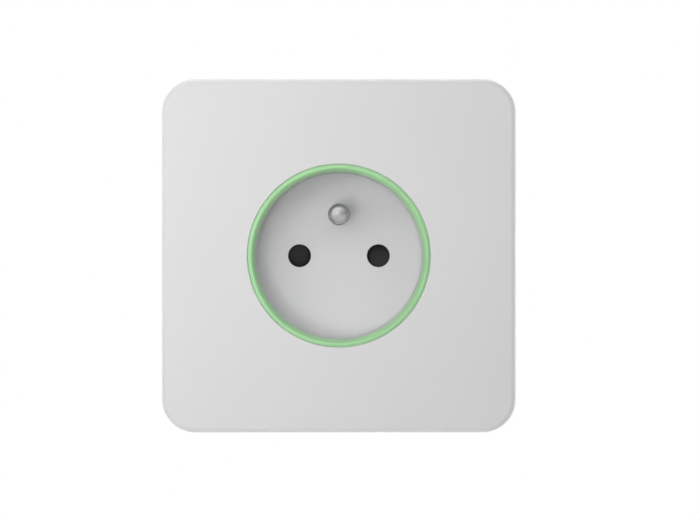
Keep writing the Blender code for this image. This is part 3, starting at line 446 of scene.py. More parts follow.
pin_profile = nose + [
    (EARTH_RADIUS, floor_back + CLEARANCE),
    (collar_radius, floor_back + CLEARANCE),
    (collar_radius, collar_back),
    (TAIL_RADIUS, collar_back),
    (TAIL_RADIUS, pin_high.y),
]
earth_pin = shaped("earth_pin_turned", turned(pin_profile, z=earth_z, count=96))
stands_for(earth_pin, turned_nickel(), "base", "nickel", "earth_pin")


# Shutter: a rotor behind the floor whose two pads close the pin holes until both pins push at once.
# Moulded in dark filled nylon. The pins slide on a ramp on each pad, whose end towards the hub is round.
SHUTTER_RAMP = 0.0012
SHUTTER_WEB = 0.0011
SHUTTER_PAD_AT = 0.0102
PAD_END_RADIUS = 0.0029
PAD_SPAN = math.radians(20.03)
PAD_SLICES = 24
ARM_HALF_WIDTH = 0.0026
HUB_RADIUS = 0.0033
HUB_BORE = 0.0023
SHUTTER_GREY = (0.0115, 0.0115, 0.012)

shutter_front = floor_back + CLEARANCE
shutter_web = shutter_front + SHUTTER_RAMP
shutter_back = shutter_web + SHUTTER_WEB


def shutter_pad(turn):
    """A pad with a ramp round the hub, whose end towards the hub is rounded."""
    slices = []
    outer = shutter_high.x
    for step in range(PAD_SLICES + 1):
        away = PAD_SPAN * (2 * step / PAD_SLICES - 1)
        front = shutter_front + SHUTTER_RAMP * step / PAD_SLICES
        rounding = math.sqrt(max(PAD_END_RADIUS**2 - (SHUTTER_PAD_AT * math.sin(away)) ** 2, 0.0))
        inner = SHUTTER_PAD_AT * math.cos(away) - rounding
        section = [(inner, front), (outer, front), (outer, shutter_back), (inner, shutter_back)]
        angle = turn + away
        slices.append([(r * math.cos(angle), y, r * math.sin(angle)) for r, y in section])
    return loft(slices)


def post(x, z, half_x, half_z, start, end):
    """A square post along Y round a place."""
    return bar(x - half_x, x + half_x, start, end, z - half_z, z + half_z)


arm = post(0.0, 0.0, SHUTTER_PAD_AT, ARM_HALF_WIDTH, shutter_web + CLEARANCE, shutter_back - CLEARANCE)
shutter_steps = [
    ("UNION", [cylinder(HUB_RADIUS, shutter_front + CLEARANCE, shutter_high.y, count=SMALL_ROUND)]),
    ("UNION", [shutter_pad(0.0), shutter_pad(math.pi)]),
    ("DIFFERENCE", [cylinder(HUB_BORE, shutter_front - PAST, shutter_high.y + PAST, count=SMALL_ROUND)]),
]
shutter = shaped("shutter_rotor", arm, shutter_steps)
shutter_finish = moulded("shutter_nylon", SHUTTER_GREY, roughness=0.5, clouding=0.9)
stands_for(shutter, shutter_finish, "shutter_rotor", "shutter_dark", "shutter")


# Shutter spring, and the folded steel inside: bright zinc with a soft crystalline bloom.
# The spring turns the rotor back. The radio's lid and the terminal cages are folded from thin strip.
SPRING_WIRE = 0.0005
SPRING_PITCH = 0.00095
SPRING_TURNS = 16 / 7
SPRING_LEG = 0.004
SPRING_STEPS = 96
SPRING_CREASE = math.radians(60)
FLAT_LIMIT = math.radians(1)
EDGE_LIMIT = math.radians(40)
SHEET_EDGE = 0.0001
TERMINALS = ("line", "earth", "neutral")
ZINC = (0.60, 0.61, 0.62)


def zinc_plated(name, colour, roughness):
    material, shader, place = blank_finish(name)
    bloom = noise(place, scale=420.0, detail=4.0)
    tint = two_tone(bloom, darker(colour, share=0.86), colour)
    gloss = uneven(bloom, roughness, spread=0.08)
    feed(shader, {"Base Color": tint, "Roughness": gloss, "Metallic": 1.0})
    relief(shader, noise(place, scale=2600.0), depth=0.000006, strength=0.3)
    return material


def soften(material, body, slot, edge, *names):
    """Stands copies of solids in their places, with edges rounded as bending or moulding leaves them."""
    for name in names:
        solid = bmesh.new()
        solid.from_mesh(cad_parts[name].data)
        bmesh.ops.remove_doubles(solid, verts=solid.verts, dist=WELD_REACH)
        bmesh.ops.dissolve_limit(solid, angle_limit=FLAT_LIMIT, verts=solid.verts, edges=solid.edges)
        solid.verts.index_update()
        points = [tuple(vert.co) for vert in solid.verts]
        faces = [[vert.index for vert in face.verts] for face in solid.faces]
        solid.free()
        part = part_from(f"{name}_finished", [(points, faces)])
        rounding = part.modifiers.new("edges", "BEVEL")
        rounding.width = edge
        rounding.segments = 2
        rounding.angle_limit = EDGE_LIMIT
        make_plain(part)
        smooth(part)
        stands_for(part, material, body, slot, name)


spring_low, spring_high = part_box("shutter_spring")
spring_radius = spring_high.x - SPRING_WIRE / 2
spring_start = (spring_low.y + spring_high.y - SPRING_TURNS * SPRING_PITCH) / 2
wire = circle(SPRING_WIRE / 2, 0.0, count=12)
spring_rings = []
for step in range(-1, SPRING_STEPS + 2):
    wound_steps = min(max(step, 0), SPRING_STEPS)
    turns = SPRING_TURNS * wound_steps / SPRING_STEPS
    along = SPRING_LEG * (step - wound_steps)
    c, s = math.cos(2 * math.pi * turns), math.sin(2 * math.pi * turns)
    x, z = spring_radius * c - along * s, spring_radius * s + along * c
    y = spring_start + SPRING_PITCH * turns
    spring_rings.append([(x + a * c, y + b, z + a * s) for a, _, b in wire])
spring = shaped("shutter_spring_wound", loft(spring_rings), crease=SPRING_CREASE)
zinc_finish = zinc_plated("zinc_steel", ZINC, roughness=0.36)
stands_for(spring, zinc_finish, "base", "steel", "shutter_spring")
soften(zinc_finish, "base", "steel", SHEET_EDGE, "radio_module")
for name in TERMINALS:
    soften(zinc_finish, f"{name}_cage", "steel", SHEET_EDGE, f"terminal_cage_{name}")


# Contact carrier: the disc that closes the insert's skirt, with the shutter's post and the contacts' pockets.
# Moulded in grey heat-resistant resin.
CARRIER_EDGE = 0.00015
CARRIER_GREY = (0.35, 0.36, 0.37)
carrier_finish = moulded("carrier_resin", CARRIER_GREY, roughness=0.55, clouding=0.94)
soften(carrier_finish, "base", "carrier_grey", CARRIER_EDGE, "contact_carrier")


# Contacts and strips: two sprung contacts, the earth strap and the line bar.
# Stamped from brass strip, with the rolling marks still along it, and folded.
CONDUCTORS = ("live_contact", "neutral_contact", "earth_strap", "line_bar")
BRASS_DARK, BRASS_LIGHT = (0.60, 0.43, 0.17), (0.74, 0.56, 0.25)


def rolled_brass():
    material, shader, place = blank_finish("rolled_brass")
    stretch = add_node(place, "ShaderNodeMapping", {"Vector": place, "Scale": (1.0, 1.0, 0.04)})
    marks = noise(stretch.outputs["Vector"], scale=3800.0, detail=3.0)
    tint = two_tone(marks, BRASS_DARK, BRASS_LIGHT)
    feed(shader, {"Base Color": tint, "Roughness": between(marks, low=0.24, high=0.42), "Metallic": 1.0})
    relief(shader, marks, depth=0.000005, strength=0.3)
    return material


soften(rolled_brass(), "base", "brass", SHEET_EDGE, *CONDUCTORS)


# Main board: carries the relay, the power supply and the processor, and the contacts are soldered to it.
# Glass-fibre sheet under a green mask, with copper tracks that show as paler ridges.
GREEN_MASK, GREEN_TRACK = (0.020, 0.115, 0.050), (0.040, 0.185, 0.080)


def board_mask(name, mask, track):
    """Solder mask over a grid of tracks, which stand a little proud."""
    material, shader, place = blank_finish(name)
    feeds = {"Vector": place, "Scale": 230.0}
    grid = add_node(place, "ShaderNodeTexVoronoi", feeds, distance="MANHATTAN", feature="F1")
    tracks = grid.outputs["Distance"]
    tint = shades(tracks, [(0.30, track), (0.36, mask), (0.62, mask), (0.68, track)])
    gloss = between(noise(place, scale=1500.0), low=0.32, high=0.46)
    feed(shader, {"Base Color": tint, "Roughness": gloss})
    relief(shader, tracks, depth=0.00003, strength=0.2)
    return material


def dress(material, name):
    """Gives a solid that stays as it is its finish."""
    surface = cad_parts[name].data
    surface.materials.clear()
    surface.materials.append(material)


dress(board_mask("green_mask", GREEN_MASK, GREEN_TRACK), "main_board")


# Relay: switches the line. A glossy blue case over a base, a coil on an iron core and a hinged flap.
# The coil is enamelled copper wire wound layer on layer, and the iron is annealed and left bare.
RELAY_EDGE = 0.00025
RELAY_BLUE = (0.05, 0.12, 0.30)
COIL_BORE = 0.0015
COIL_CHEEK = 0.0008
# The dark copper tone lies in the grooves between the turns, as painted shade.
COPPER_DARK, COPPER_LIGHT = (0.30, 0.10, 0.04), (0.66, 0.28, 0.11)
IRON_DARK, IRON_LIGHT = (0.20, 0.20, 0.21), (0.34, 0.34, 0.35)


def waves(place, direction, scale, distortion=0.0):
    """Bands across one axis."""
    feeds = {"Vector": place, "Scale": scale, "Distortion": distortion}
    return add_node(place, "ShaderNodeTexWave", feeds, bands_direction=direction).outputs["Fac"]


def wound(name, dark, light, scale, metallic, roughness):
    """A winding along Z: each turn is a low ridge, with painted shade darkening the grooves between the
    turns.
    """
    material, shader, place = blank_finish(name)
    turns = waves(place, "Z", scale, distortion=0.4)
    # Painted shade: the dark colour follows the grooves of the relief below.
    tint = two_tone(turns, dark, light, start=0.1)
    gloss = uneven(noise(place, scale=800.0), roughness, spread=0.06)
    feed(shader, {"Base Color": tint, "Roughness": gloss, "Metallic": metallic})
    relief(shader, turns, depth=0.00006, strength=0.6)
    return material


def bare_iron():
    material, shader, place = blank_finish("bare_iron")
    blotches = noise(place, scale=700.0, detail=5.0)
    tint = two_tone(blotches, IRON_DARK, IRON_LIGHT)
    gloss = between(blotches, low=0.36, high=0.58)
    feed(shader, {"Base Color": tint, "Roughness": gloss, "Metallic": 1.0})
    relief(shader, blotches, depth=0.00001, strength=0.4)
    return material


def round_box(name):
    """The two corners and the middle of a round solid's box, and its radius along X."""
    low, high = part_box(name)
    return low, high, (low + high) / 2, (high.x - low.x) / 2


def upright(profile, x, y, closed=False):
    """A profile of (radius, z) points turned about a line along Z."""
    rings = []
    for radius, level in profile:
        rings.append([(x + a, y + b, level) for a, _, b in circle(radius, 0.0, count=SMALL_ROUND)])
    return loft(rings, closed)


relay_finish = moulded("relay_blue", RELAY_BLUE, roughness=0.3, clouding=0.9)
soften(relay_finish, "base", "relay_case", RELAY_EDGE, "relay_cover", "relay_base")
low, high, middle, coil_radius = round_box("relay_coil")
waist_radius = coil_radius - COIL_CHEEK
coil_profile = [
    (coil_radius, low.z),
    (coil_radius, low.z + COIL_CHEEK),
    (waist_radius, low.z + COIL_CHEEK),
    (waist_radius, high.z - COIL_CHEEK),
    (coil_radius, high.z - COIL_CHEEK),
    (coil_radius, high.z),
    (COIL_BORE, high.z),
    (COIL_BORE, low.z),
]
coil = shaped("relay_coil_wound", upright(coil_profile, middle.x, middle.y, closed=True))
coil_finish = wound("coil_copper", COPPER_DARK, COPPER_LIGHT, scale=1400.0, metallic=1.0, roughness=0.34)
stands_for(coil, coil_finish, "base", "copper", "relay_coil")
iron_finish = bare_iron()
soften(iron_finish, "base", "iron", SHEET_EDGE, "relay_core")
soften(iron_finish, "relay_flap", "iron", SHEET_EDGE, "relay_armature")


# Transformer: isolates the electronics from the mains. Thin iron sheets stacked to a core with two windows.
# The winding round its middle leg is wrapped in yellow film tape.
WINDING_EDGE = 0.0004
# The dark tones of the core and the tape lie in the grooves between sheets and wraps, as painted shade.
STACK_DARK, STACK_LIGHT = (0.16, 0.16, 0.17), (0.33, 0.33, 0.34)
TAPE_DARK, TAPE_LIGHT = (0.60, 0.45, 0.07), (0.76, 0.60, 0.11)
core_finish = wound("stacked_iron", STACK_DARK, STACK_LIGHT, scale=900.0, metallic=1.0, roughness=0.5)
tape_finish = wound("film_tape", TAPE_DARK, TAPE_LIGHT, scale=160.0, metallic=0.0, roughness=0.4)
soften(core_finish, "base", "iron", SHEET_EDGE, "transformer_core")
soften(tape_finish, "base", "winding_tape", WINDING_EDGE, "transformer_winding")


# Capacitor, fuse, varistor and processor on the back of the board, all held by their solder.
# A shrink sleeve, a glazed ceramic tube with plated caps, a dipped disc and a moulded chip.
SLEEVE_EDGE = 0.0004
SLEEVE_BLACK = (0.04, 0.05, 0.08)
CRIMP_AT = 0.0016
CRIMP_DEPTH = 0.0005
CRIMP_STEPS = 12
FUSE_EDGE = 0.00015
FUSE_CAP = 0.0019
FUSE_STEP = 0.00025
CAP_PLATING, FUSE_CERAMIC = (0.62, 0.61, 0.58), (0.80, 0.79, 0.74)
DISC_EDGE = 0.0007
DISC_BLUE = (0.05, 0.20, 0.50)
CHIP_BLACK = (0.020, 0.020, 0.021)
BLACK = (0.0, 0.0, 0.0)


def axes(vector):
    return add_node(vector, "ShaderNodeSeparateXYZ", {"Vector": vector}).outputs


def fuse_tube(low, high):
    """Ceramic between two plated caps, which the height along the tube tells apart."""
    material, shader, place = blank_finish("fuse_ceramic")
    along = between(axes(place)["Z"], 0.0, 1.0, low.z, high.z)

    def by_height(cap, tube):
        return shades(along, [(0.20, cap), (0.22, tube), (0.78, tube), (0.80, cap)])

    gloss = between(noise(place, scale=900.0), low=0.22, high=0.36)
    tint = by_height(CAP_PLATING, FUSE_CERAMIC)
    feed(shader, {"Base Color": tint, "Metallic": by_height(WHITE, BLACK), "Roughness": gloss})
    return material


def rod(radius, low, high, edge, waist=()):
    """The profile of a rod with rounded ends and what lies between them."""
    return [*reversed(rounded_end(radius, low, edge, way=-1)), *waist, *rounded_end(radius, high, edge)]


low, high, middle, can_radius = round_box("filter_capacitor")
crimp = []
for step in range(CRIMP_STEPS + 1):
    share = 2 * step / CRIMP_STEPS - 1
    depth = CRIMP_DEPTH * (1 + math.cos(math.pi * share)) / 2
    crimp.append((can_radius - depth, low.z + CRIMP_AT + CRIMP_DEPTH * share))
can_profile = rod(can_radius, low.z, high.z, SLEEVE_EDGE, crimp)
capacitor = shaped("capacitor_sleeved", upright(can_profile, middle.x, middle.y))
sleeve_finish = moulded("shrink_sleeve", SLEEVE_BLACK, roughness=0.3, clouding=0.85)
stands_for(capacitor, sleeve_finish, "base", "capacitor_sleeve", "filter_capacitor")

low, high, middle, cap_radius = round_box("fuse")
tube_low, tube_high = low.z + FUSE_CAP, high.z - FUSE_CAP
tube_radius = cap_radius - FUSE_STEP
tube = [(cap_radius, tube_low), (tube_radius, tube_low), (tube_radius, tube_high), (cap_radius, tube_high)]
fuse_profile = rod(cap_radius, low.z, high.z, FUSE_EDGE, tube)
fuse = shaped("fuse_cartridge", upright(fuse_profile, middle.x, middle.y))
stands_for(fuse, fuse_tube(low, high), "base", "fuse_ceramic", "fuse")

low, high, middle, disc_radius = round_box("varistor")
disc_profile = rod(disc_radius, low.y, high.y, DISC_EDGE)
varistor = shaped("varistor_dipped", turned(disc_profile, middle.x, middle.z, count=64))
dip_finish = moulded("dipped_blue", DISC_BLUE, roughness=0.28, clouding=0.88, grain=900.0)
stands_for(varistor, dip_finish, "base", "varistor_blue", "varistor")

dress(moulded("chip_epoxy", CHIP_BLACK, roughness=0.45, clouding=0.8), "processor_chip")


# Terminal screws: slotted cheese-head screws in zinc-plated steel, reached from behind through the housing.
# Each turns in its place and draws its cage back on the wire, so each rides on a body of its own.
SCREW_SLOT_WIDTH = 0.0007
SCREW_SLOT_DEPTH = 0.0009
TERMINAL_SHANK = 0.0015
TERMINAL_HEAD = 0.0024
THREAD_PITCH = 0.0006
THREAD_DEPTH = 0.0003
HEAD_EDGE = 0.0003
SCREW_ZINC = (0.66, 0.66, 0.65)


def thread(radius, start, end):
    """Crests and roots of a thread between two levels, as points of a turned profile."""
    points = []
    for turn in range(int((end - start) / THREAD_PITCH)):
        level = start + turn * THREAD_PITCH
        points.append((radius, level))
        points.append((radius - THREAD_DEPTH, level + THREAD_PITCH / 2))
    return points


screw_finish = zinc_plated("zinc_screws", SCREW_ZINC, roughness=0.3)
for name in TERMINALS:
    low, high, middle, head_radius = round_box(f"terminal_screw_{name}")
    head_front = high.y - TERMINAL_HEAD
    profile = [(TERMINAL_SHANK - HEAD_EDGE, low.y)]
    profile += thread(TERMINAL_SHANK, low.y + HEAD_EDGE, head_front)
    profile += [(TERMINAL_SHANK, head_front), (head_radius, head_front)]
    profile += rounded_end(head_radius, high.y, HEAD_EDGE)
    slot_levels = (high.y - SCREW_SLOT_DEPTH, high.y + PAST)
    slot = post(middle.x, middle.z, head_radius + PAST, SCREW_SLOT_WIDTH / 2, *slot_levels)
    screw_shell = turned(profile, middle.x, middle.z, SMALL_ROUND)
    screw = shaped(f"{name}_screw_turned", screw_shell, [("DIFFERENCE", [slot])])
    stands_for(screw, screw_finish, f"{name}_screw", "steel", f"terminal_screw_{name}")


# Rear housing: the cup in the wall box, with screw columns, board stands and walls between the terminals.
# One moulding in grey resin. The wires enter from below and the driver from behind, through funnelled holes.
HOUSING_WALL = 0.0018
HOUSING_CORNER = 0.014
HOUSING_EDGE = 0.0015
COLUMN_LENGTH = 0.016
COLUMN_RADIUS = 0.0031829
BARRIER_HALF = 0.0005
STAND_RADIUS = 0.0018
WIRE_HOLE_RADIUS = 0.0019
WIRE_BEFORE_STRIP = 0.0027
DRIVER_HOLE_RADIUS = 0.002
FUNNEL = 0.0005
HOUSING_GREY = (0.50, 0.51, 0.515)

housing_low, housing_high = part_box("rear_housing")
main_low, main_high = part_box("main_board")
cage_low, cage_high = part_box("terminal_cage_line")
strip_low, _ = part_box("line_bar")
housing_side = housing_high.x - housing_low.x
inner_side = housing_side - 2 * HOUSING_WALL
inner_corner = HOUSING_CORNER - HOUSING_WALL
rear_inner = housing_high.y - HOUSING_WALL
column_end = housing_low.y + COLUMN_LENGTH
stand_x = main_high.x - 3 * STAND_RADIUS
terminal_z = (cage_low.z + cage_high.z) / 2
wire_y = strip_low.y - WIRE_BEFORE_STRIP


def funnel_profile(radius, outside, inside_level):
    """A straight hole that opens out in a cone where it meets the outer face."""
    way = math.copysign(1.0, outside - inside_level)
    return [
        (radius + FUNNEL + PAST, outside + way * PAST),
        (radius, outside - way * FUNNEL),
        (radius, inside_level - way * PAST),
    ]


cup_rings = [rounded_square(inner_side, inner_corner, y) for y in (rear_inner, housing_low.y)]
cup_rings.append(rounded_square(housing_side, HOUSING_CORNER, housing_low.y))
for gone, along in quarter_round(HOUSING_EDGE, steps=8):
    level = housing_high.y - HOUSING_EDGE + along
    cup_rings.append(rounded_square(housing_side - 2 * gone, HOUSING_CORNER - gone, level))
inside = [cylinder(COLUMN_RADIUS, housing_low.y, column_end, x, z, SMALL_ROUND) for x, z in columns]
barrier_heights = (-inner_side / 2 - CLEARANCE, main_low.z - CLEARANCE)
for x in (-PIN_X / 2, PIN_X / 2):
    barrier_sides = (x - BARRIER_HALF, x + BARRIER_HALF)
    inside.append(bar(*barrier_sides, cage_low.y, rear_inner + CLEARANCE, *barrier_heights))
inside += [
    cylinder(STAND_RADIUS, main_high.y + CLEARANCE, rear_inner + CLEARANCE, x, z, TINY_ROUND)
    for x in (-stand_x, stand_x)
    for z in (main_low.z + 2 * STAND_RADIUS, main_high.z - 3 * STAND_RADIUS)
]
bores = [
    cylinder(screw_hole_radius, housing_low.y - PAST, column_end - PAST, x, z, SMALL_ROUND)
    for x, z in columns
]
driver_hole = funnel_profile(DRIVER_HOLE_RADIUS, housing_high.y, rear_inner)
wire_hole = funnel_profile(WIRE_HOLE_RADIUS, housing_low.z, housing_low.z + HOUSING_WALL)
for x in (-PIN_X, 0.0, PIN_X):
    bores.append(turned(driver_hole, x, terminal_z, SMALL_ROUND))
    bores.append(upright(wire_hole, x, wire_y))
housing = shaped("housing_moulding", loft(cup_rings), [("UNION", inside), ("DIFFERENCE", bores)])
housing_finish = moulded("housing_resin", HOUSING_GREY, roughness=0.52, clouding=0.95)
stands_for(housing, housing_finish, "base", "housing_grey", "rear_housing")


# Mounting yoke: the plate that carries everything. Pressed from steel sheet and zinc plated.
# It has slots with round ends for the box screws, windows for the cover's legs, two stiffening lips
# and four raised pads that seat on the wall.
YOKE_THICKNESS = 0.0012
YOKE_CORNER = 0.005
YOKE_LIP_HALF = 0.022
YOKE_EDGE = 0.00012
YOKE_PAD_HEIGHT = 0.0003
YOKE_PAD_HALF = 0.004
YOKE_PAD_AT = 0.0297355
BOX_SLOT_AT = 0.030
BOX_SLOT_WIDTH = 0.0039
BOX_SLOT_LENGTH = 0.009
BOX_SLOT_STEPS = 64
LEG_X = 0.027
LEG_Z = 0.012
LEG_THICKNESS = 0.0016
LEG_WIDTH = 0.005

yoke_low, yoke_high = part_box("mounting_yoke")
yoke_side = yoke_high.x - yoke_low.x
yoke_back = yoke_high.y - YOKE_PAD_HEIGHT
yoke_front = yoke_back - YOKE_THICKNESS
through = (yoke_front - PAST, yoke_back + PAST)


def slot_tool(x, z, across, tall):
    """A cutter for a slot with round ends, longer along X or along Z."""
    radius = min(across, tall) / 2
    run_x, run_z = across / 2 - radius, tall / 2 - radius
    outline = []
    for step in range(BOX_SLOT_STEPS):
        angle = 2 * math.pi * (step + 0.5) / BOX_SLOT_STEPS
        cx = math.copysign(run_x, math.cos(angle))
        cz = math.copysign(run_z, math.sin(angle))
        outline.append((x + cx + radius * math.cos(angle), z + cz + radius * math.sin(angle)))
    return loft([[(a, y, b) for a, b in outline] for y in through])


sheet_levels = [(yoke_front, YOKE_EDGE), (yoke_front + YOKE_EDGE, 0.0)]
sheet_levels += [(yoke_back - YOKE_EDGE, 0.0), (yoke_back, YOKE_EDGE)]
sheet = loft([rounded_square(yoke_side - 2 * edge, YOKE_CORNER - edge, y) for y, edge in sheet_levels])
pad_levels = (yoke_back - CLEARANCE, yoke_high.y)
raised = [
    post(sx * YOKE_PAD_AT, sz * YOKE_PAD_AT, YOKE_PAD_HALF, YOKE_PAD_HALF, *pad_levels)
    for sx, sz in CORNERS
]
for lip in ((yoke_high.x - YOKE_THICKNESS, yoke_high.x), (yoke_low.x, yoke_low.x + YOKE_THICKNESS)):
    raised.append(bar(*lip, yoke_low.y, yoke_front + CLEARANCE, -YOKE_LIP_HALF, YOKE_LIP_HALF))
pierced = [cylinder(barrel_radius + CLEARANCE, *through)]
for side in (-1, 1):
    pierced.append(slot_tool(side * BOX_SLOT_AT, 0.0, BOX_SLOT_WIDTH, BOX_SLOT_LENGTH))
    pierced.append(slot_tool(0.0, side * BOX_SLOT_AT, BOX_SLOT_LENGTH, BOX_SLOT_WIDTH))
window = (LEG_THICKNESS / 2 + CLEARANCE, LEG_WIDTH / 2 + CLEARANCE)
for (sx, sz), (x, z) in zip(CORNERS, columns):
    pierced.append(post(sx * LEG_X, sz * LEG_Z, *window, *through))
    pierced.append(cylinder(screw_hole_radius, *through, x, z, SMALL_ROUND))
ribbon_hole = bar(*ribbon_way, *through, *ribbon_gap)
yoke_steps = [("UNION", raised), ("DIFFERENCE", pierced), ("DIFFERENCE", [ribbon_hole])]
yoke = shaped("yoke_pressing", sheet, yoke_steps)
stands_for(yoke, zinc_plated("zinc_sheet", ZINC, roughness=0.4), "base", "steel", "mounting_yoke")


# Housing screws: four cross-recessed screws that hold insert, yoke and housing together. Zinc-plated steel.
# One screw is shaped once and set at the four columns.
SCREW_HEAD_HEIGHT = 0.0013
CROSS_WIDTH = 0.0008
CROSS_REACH = 0.0015
CROSS_DEPTH = 0.0008
PATTERN_INPUTS = (("Size", "Float"), ("Pattern", "Object"), ("Material", "Material"))


def pattern_tree(name):
    """A node tree with inputs for a size, a pattern and a material, and its input node."""
    tree = bpy.data.node_groups.new(name, "GeometryNodeTree")
    for label, kind in PATTERN_INPUTS:
        tree.interface.new_socket(name=label, in_out="INPUT", socket_type=f"NodeSocket{kind}")
    tree.interface.new_socket(name="Geometry", in_out="OUTPUT", socket_type="NodeSocketGeometry")
    return tree, add_node(tree, "NodeGroupInput").outputs


def stood_up(shape, turn=0.0):
    """Stands a flat plan up, so that its own Z becomes -Y, after a turn round that Z."""
    feeds = {"Geometry": shape, "Rotation": (math.pi / 2, -turn, 0.0)}
    return add_node(shape, "GeometryNodeTransform", feeds).outputs["Geometry"]


def finish_tree(given, shape):
    """Ends a tree with real geometry in its material."""
    real = add_node(shape, "GeometryNodeRealizeInstances", {"Geometry": shape})
    feeds = {"Geometry": real.outputs["Geometry"], "Material": given["Material"]}
    coat = add_node(shape, "GeometryNodeSetMaterial", feeds)
    add_node(shape, "NodeGroupOutput", {"Geometry": coat.outputs["Geometry"]})


def pattern_shape(given):
    pattern = given["Pattern"]
    return add_node(pattern, "GeometryNodeObjectInfo", {"Object": pattern}).outputs["Geometry"]


def set_pattern(given, points, turning=None):
    """Puts the pattern on each point and ends the tree."""
    feeds = {"Points": points, "Instance": pattern_shape(given)}
    if turning is not None:
        feeds["Rotation"] = turning
    copies = add_node(points, "GeometryNodeInstanceOnPoints", feeds)
    finish_tree(given, copies.outputs["Instances"])


def grown(name, tree, size, pattern, material):
    """A plain mesh object from a tree and the values of its inputs. The pattern itself goes."""
    part = placed(name, bpy.data.meshes.new(name))
    growth = part.modifiers.new("growth", "NODES")
    growth.node_group = tree
    values = {"Size": size, "Pattern": pattern, "Material": material}
    for socket in tree.interface.items_tree:
        if socket.in_out == "INPUT":
            growth[socket.identifier] = values[socket.name]
    make_plain(part)
    bpy.data.objects.remove(pattern)
    return part


head_back = screw_low.y + SCREW_HEAD_HEIGHT
screw_profile = []
for back, out in quarter_round(HEAD_EDGE):
    screw_profile.append((screw_head_radius - HEAD_EDGE + out, screw_low.y + back))
screw_profile += [(screw_head_radius, head_back), (SCREW_SHANK, head_back)]
screw_profile += thread(SCREW_SHANK, head_back + THREAD_PITCH, screw_high.y - THREAD_PITCH)
screw_profile.append((SCREW_SHANK / 2, screw_high.y))
cross_levels = (screw_low.y - PAST, screw_low.y + CROSS_DEPTH)
cross_steps = [
    ("DIFFERENCE", [post(0.0, 0.0, CROSS_REACH, CROSS_WIDTH / 2, *cross_levels)]),
    ("DIFFERENCE", [post(0.0, 0.0, CROSS_WIDTH / 2, CROSS_REACH, *cross_levels)]),
]
screw_pattern = shaped("screw_pattern", turned(screw_profile, count=40), cross_steps)

screw_tree, given = pattern_tree("screws_at_columns")
feeds = {"Vertices X": 2, "Vertices Y": 2, "Size X": given["Size"], "Size Y": given["Size"]}
square = add_node(screw_tree, "GeometryNodeMeshGrid", feeds)
set_pattern(given, stood_up(square.outputs["Mesh"]))
housing_screws = grown("housing_screw_set", screw_tree, 2 * column_at, screw_pattern, screw_finish)
screw_nodes = [f"housing_screw_{number}" for number in range(1, 5)]
stands_for(housing_screws, screw_finish, "base", "steel", *screw_nodes)


# Front board: a ring on the insert's pegs, with a tab for the radio and a ribbon to the main board.
# White mask, so that it throws the lamps' light forward. The ribbon is flat copper in polyester film.
WHITE_MASK, WHITE_TRACK = (0.70, 0.70, 0.69), (0.60, 0.60, 0.58)
RIBBON_DARK, RIBBON_LIGHT = (0.62, 0.62, 0.60), (0.74, 0.74, 0.72)


def striped_ribbon():
    material, shader, place = blank_finish("ribbon_film")
    wires = waves(place, "X", scale=420.0)
    tint = two_tone(wires, RIBBON_DARK, RIBBON_LIGHT, start=0.35, end=0.6)
    feed(shader, {"Base Color": tint, "Roughness": between(noise(place, scale=700.0), low=0.3, high=0.42)})
    relief(shader, wires, depth=0.00005, strength=0.5)
    return material


dress(board_mask("white_mask", WHITE_MASK, WHITE_TRACK), "led_board")
soften(striped_ribbon(), "base", "ribbon", SHEET_EDGE, "board_ribbon")


# Lamps: eight surface-mounted lamps soldered round the front board, under the foot of the light ring.
# Each is a white resin cup with rounded corners, filled with clear resin over the chip.
LAMP_COUNT = 8
LAMP_DEPTH = 0.0012
LAMP_WIDTH = 0.0016
LAMP_CORNER = 0.0002
LAMP_CUP_RADIUS = 0.00042
LAMP_CUP_FLOOR = 0.7
LAMP_CUP_DEPTH = 0.0002
LAMP_DARK, LAMP_LIGHT = (0.70, 0.74, 0.66), (0.80, 0.82, 0.78)
LAMP_GREEN = (0.45, 1.0, 0.42, 1.0)
LAMP_GLOW = 0.25


def lamp_resin():
    material, shader, place = blank_finish("lamp_resin")
    tint = two_tone(noise(place, scale=2400.0), LAMP_DARK, LAMP_LIGHT, start=0.35, end=0.65)
    gloss = between(noise(place, scale=1600.0), low=0.2, high=0.34)
    feed(shader, {"Base Color": tint, "Roughness": gloss})
    feed(shader, {"Emission Color": LAMP_GREEN, "Emission Strength": LAMP_GLOW})
    return material


def lamp_outline(y, inset=0.0):
    """A square's points drawn out along Z to the lamp's width."""
    square = rounded_square(LAMP_DEPTH - 2 * inset, LAMP_CORNER, y, corner_steps=4, side_steps=4)
    stretch = (LAMP_WIDTH - 2 * inset) / (LAMP_DEPTH - 2 * inset)
    return [(x, level, z * stretch) for x, level, z in square]


def circle_like(outline, radius):
    """A circle with its points at the same angles as an outline's."""
    angles = [(math.atan2(z, x), y) for x, y, z in outline]
    return [(radius * math.cos(angle), y, radius * math.sin(angle)) for angle, y in angles]


lamp_low, lamp_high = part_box("led_1")
lamp_middle = (lamp_low + lamp_high) / 2
lamp_ring_radius = math.hypot(lamp_middle.x, lamp_middle.z)
lamp_rings = [
    lamp_outline(lamp_high.y),
    lamp_outline(lamp_low.y + LAMP_CORNER / 2),
    lamp_outline(lamp_low.y, inset=LAMP_CORNER / 2),
    circle_like(lamp_outline(lamp_low.y), LAMP_CUP_RADIUS),
    circle_like(lamp_outline(lamp_low.y + LAMP_CUP_DEPTH), LAMP_CUP_RADIUS * LAMP_CUP_FLOOR),
]
lamp_pattern = shaped("lamp_pattern", loft(lamp_rings))

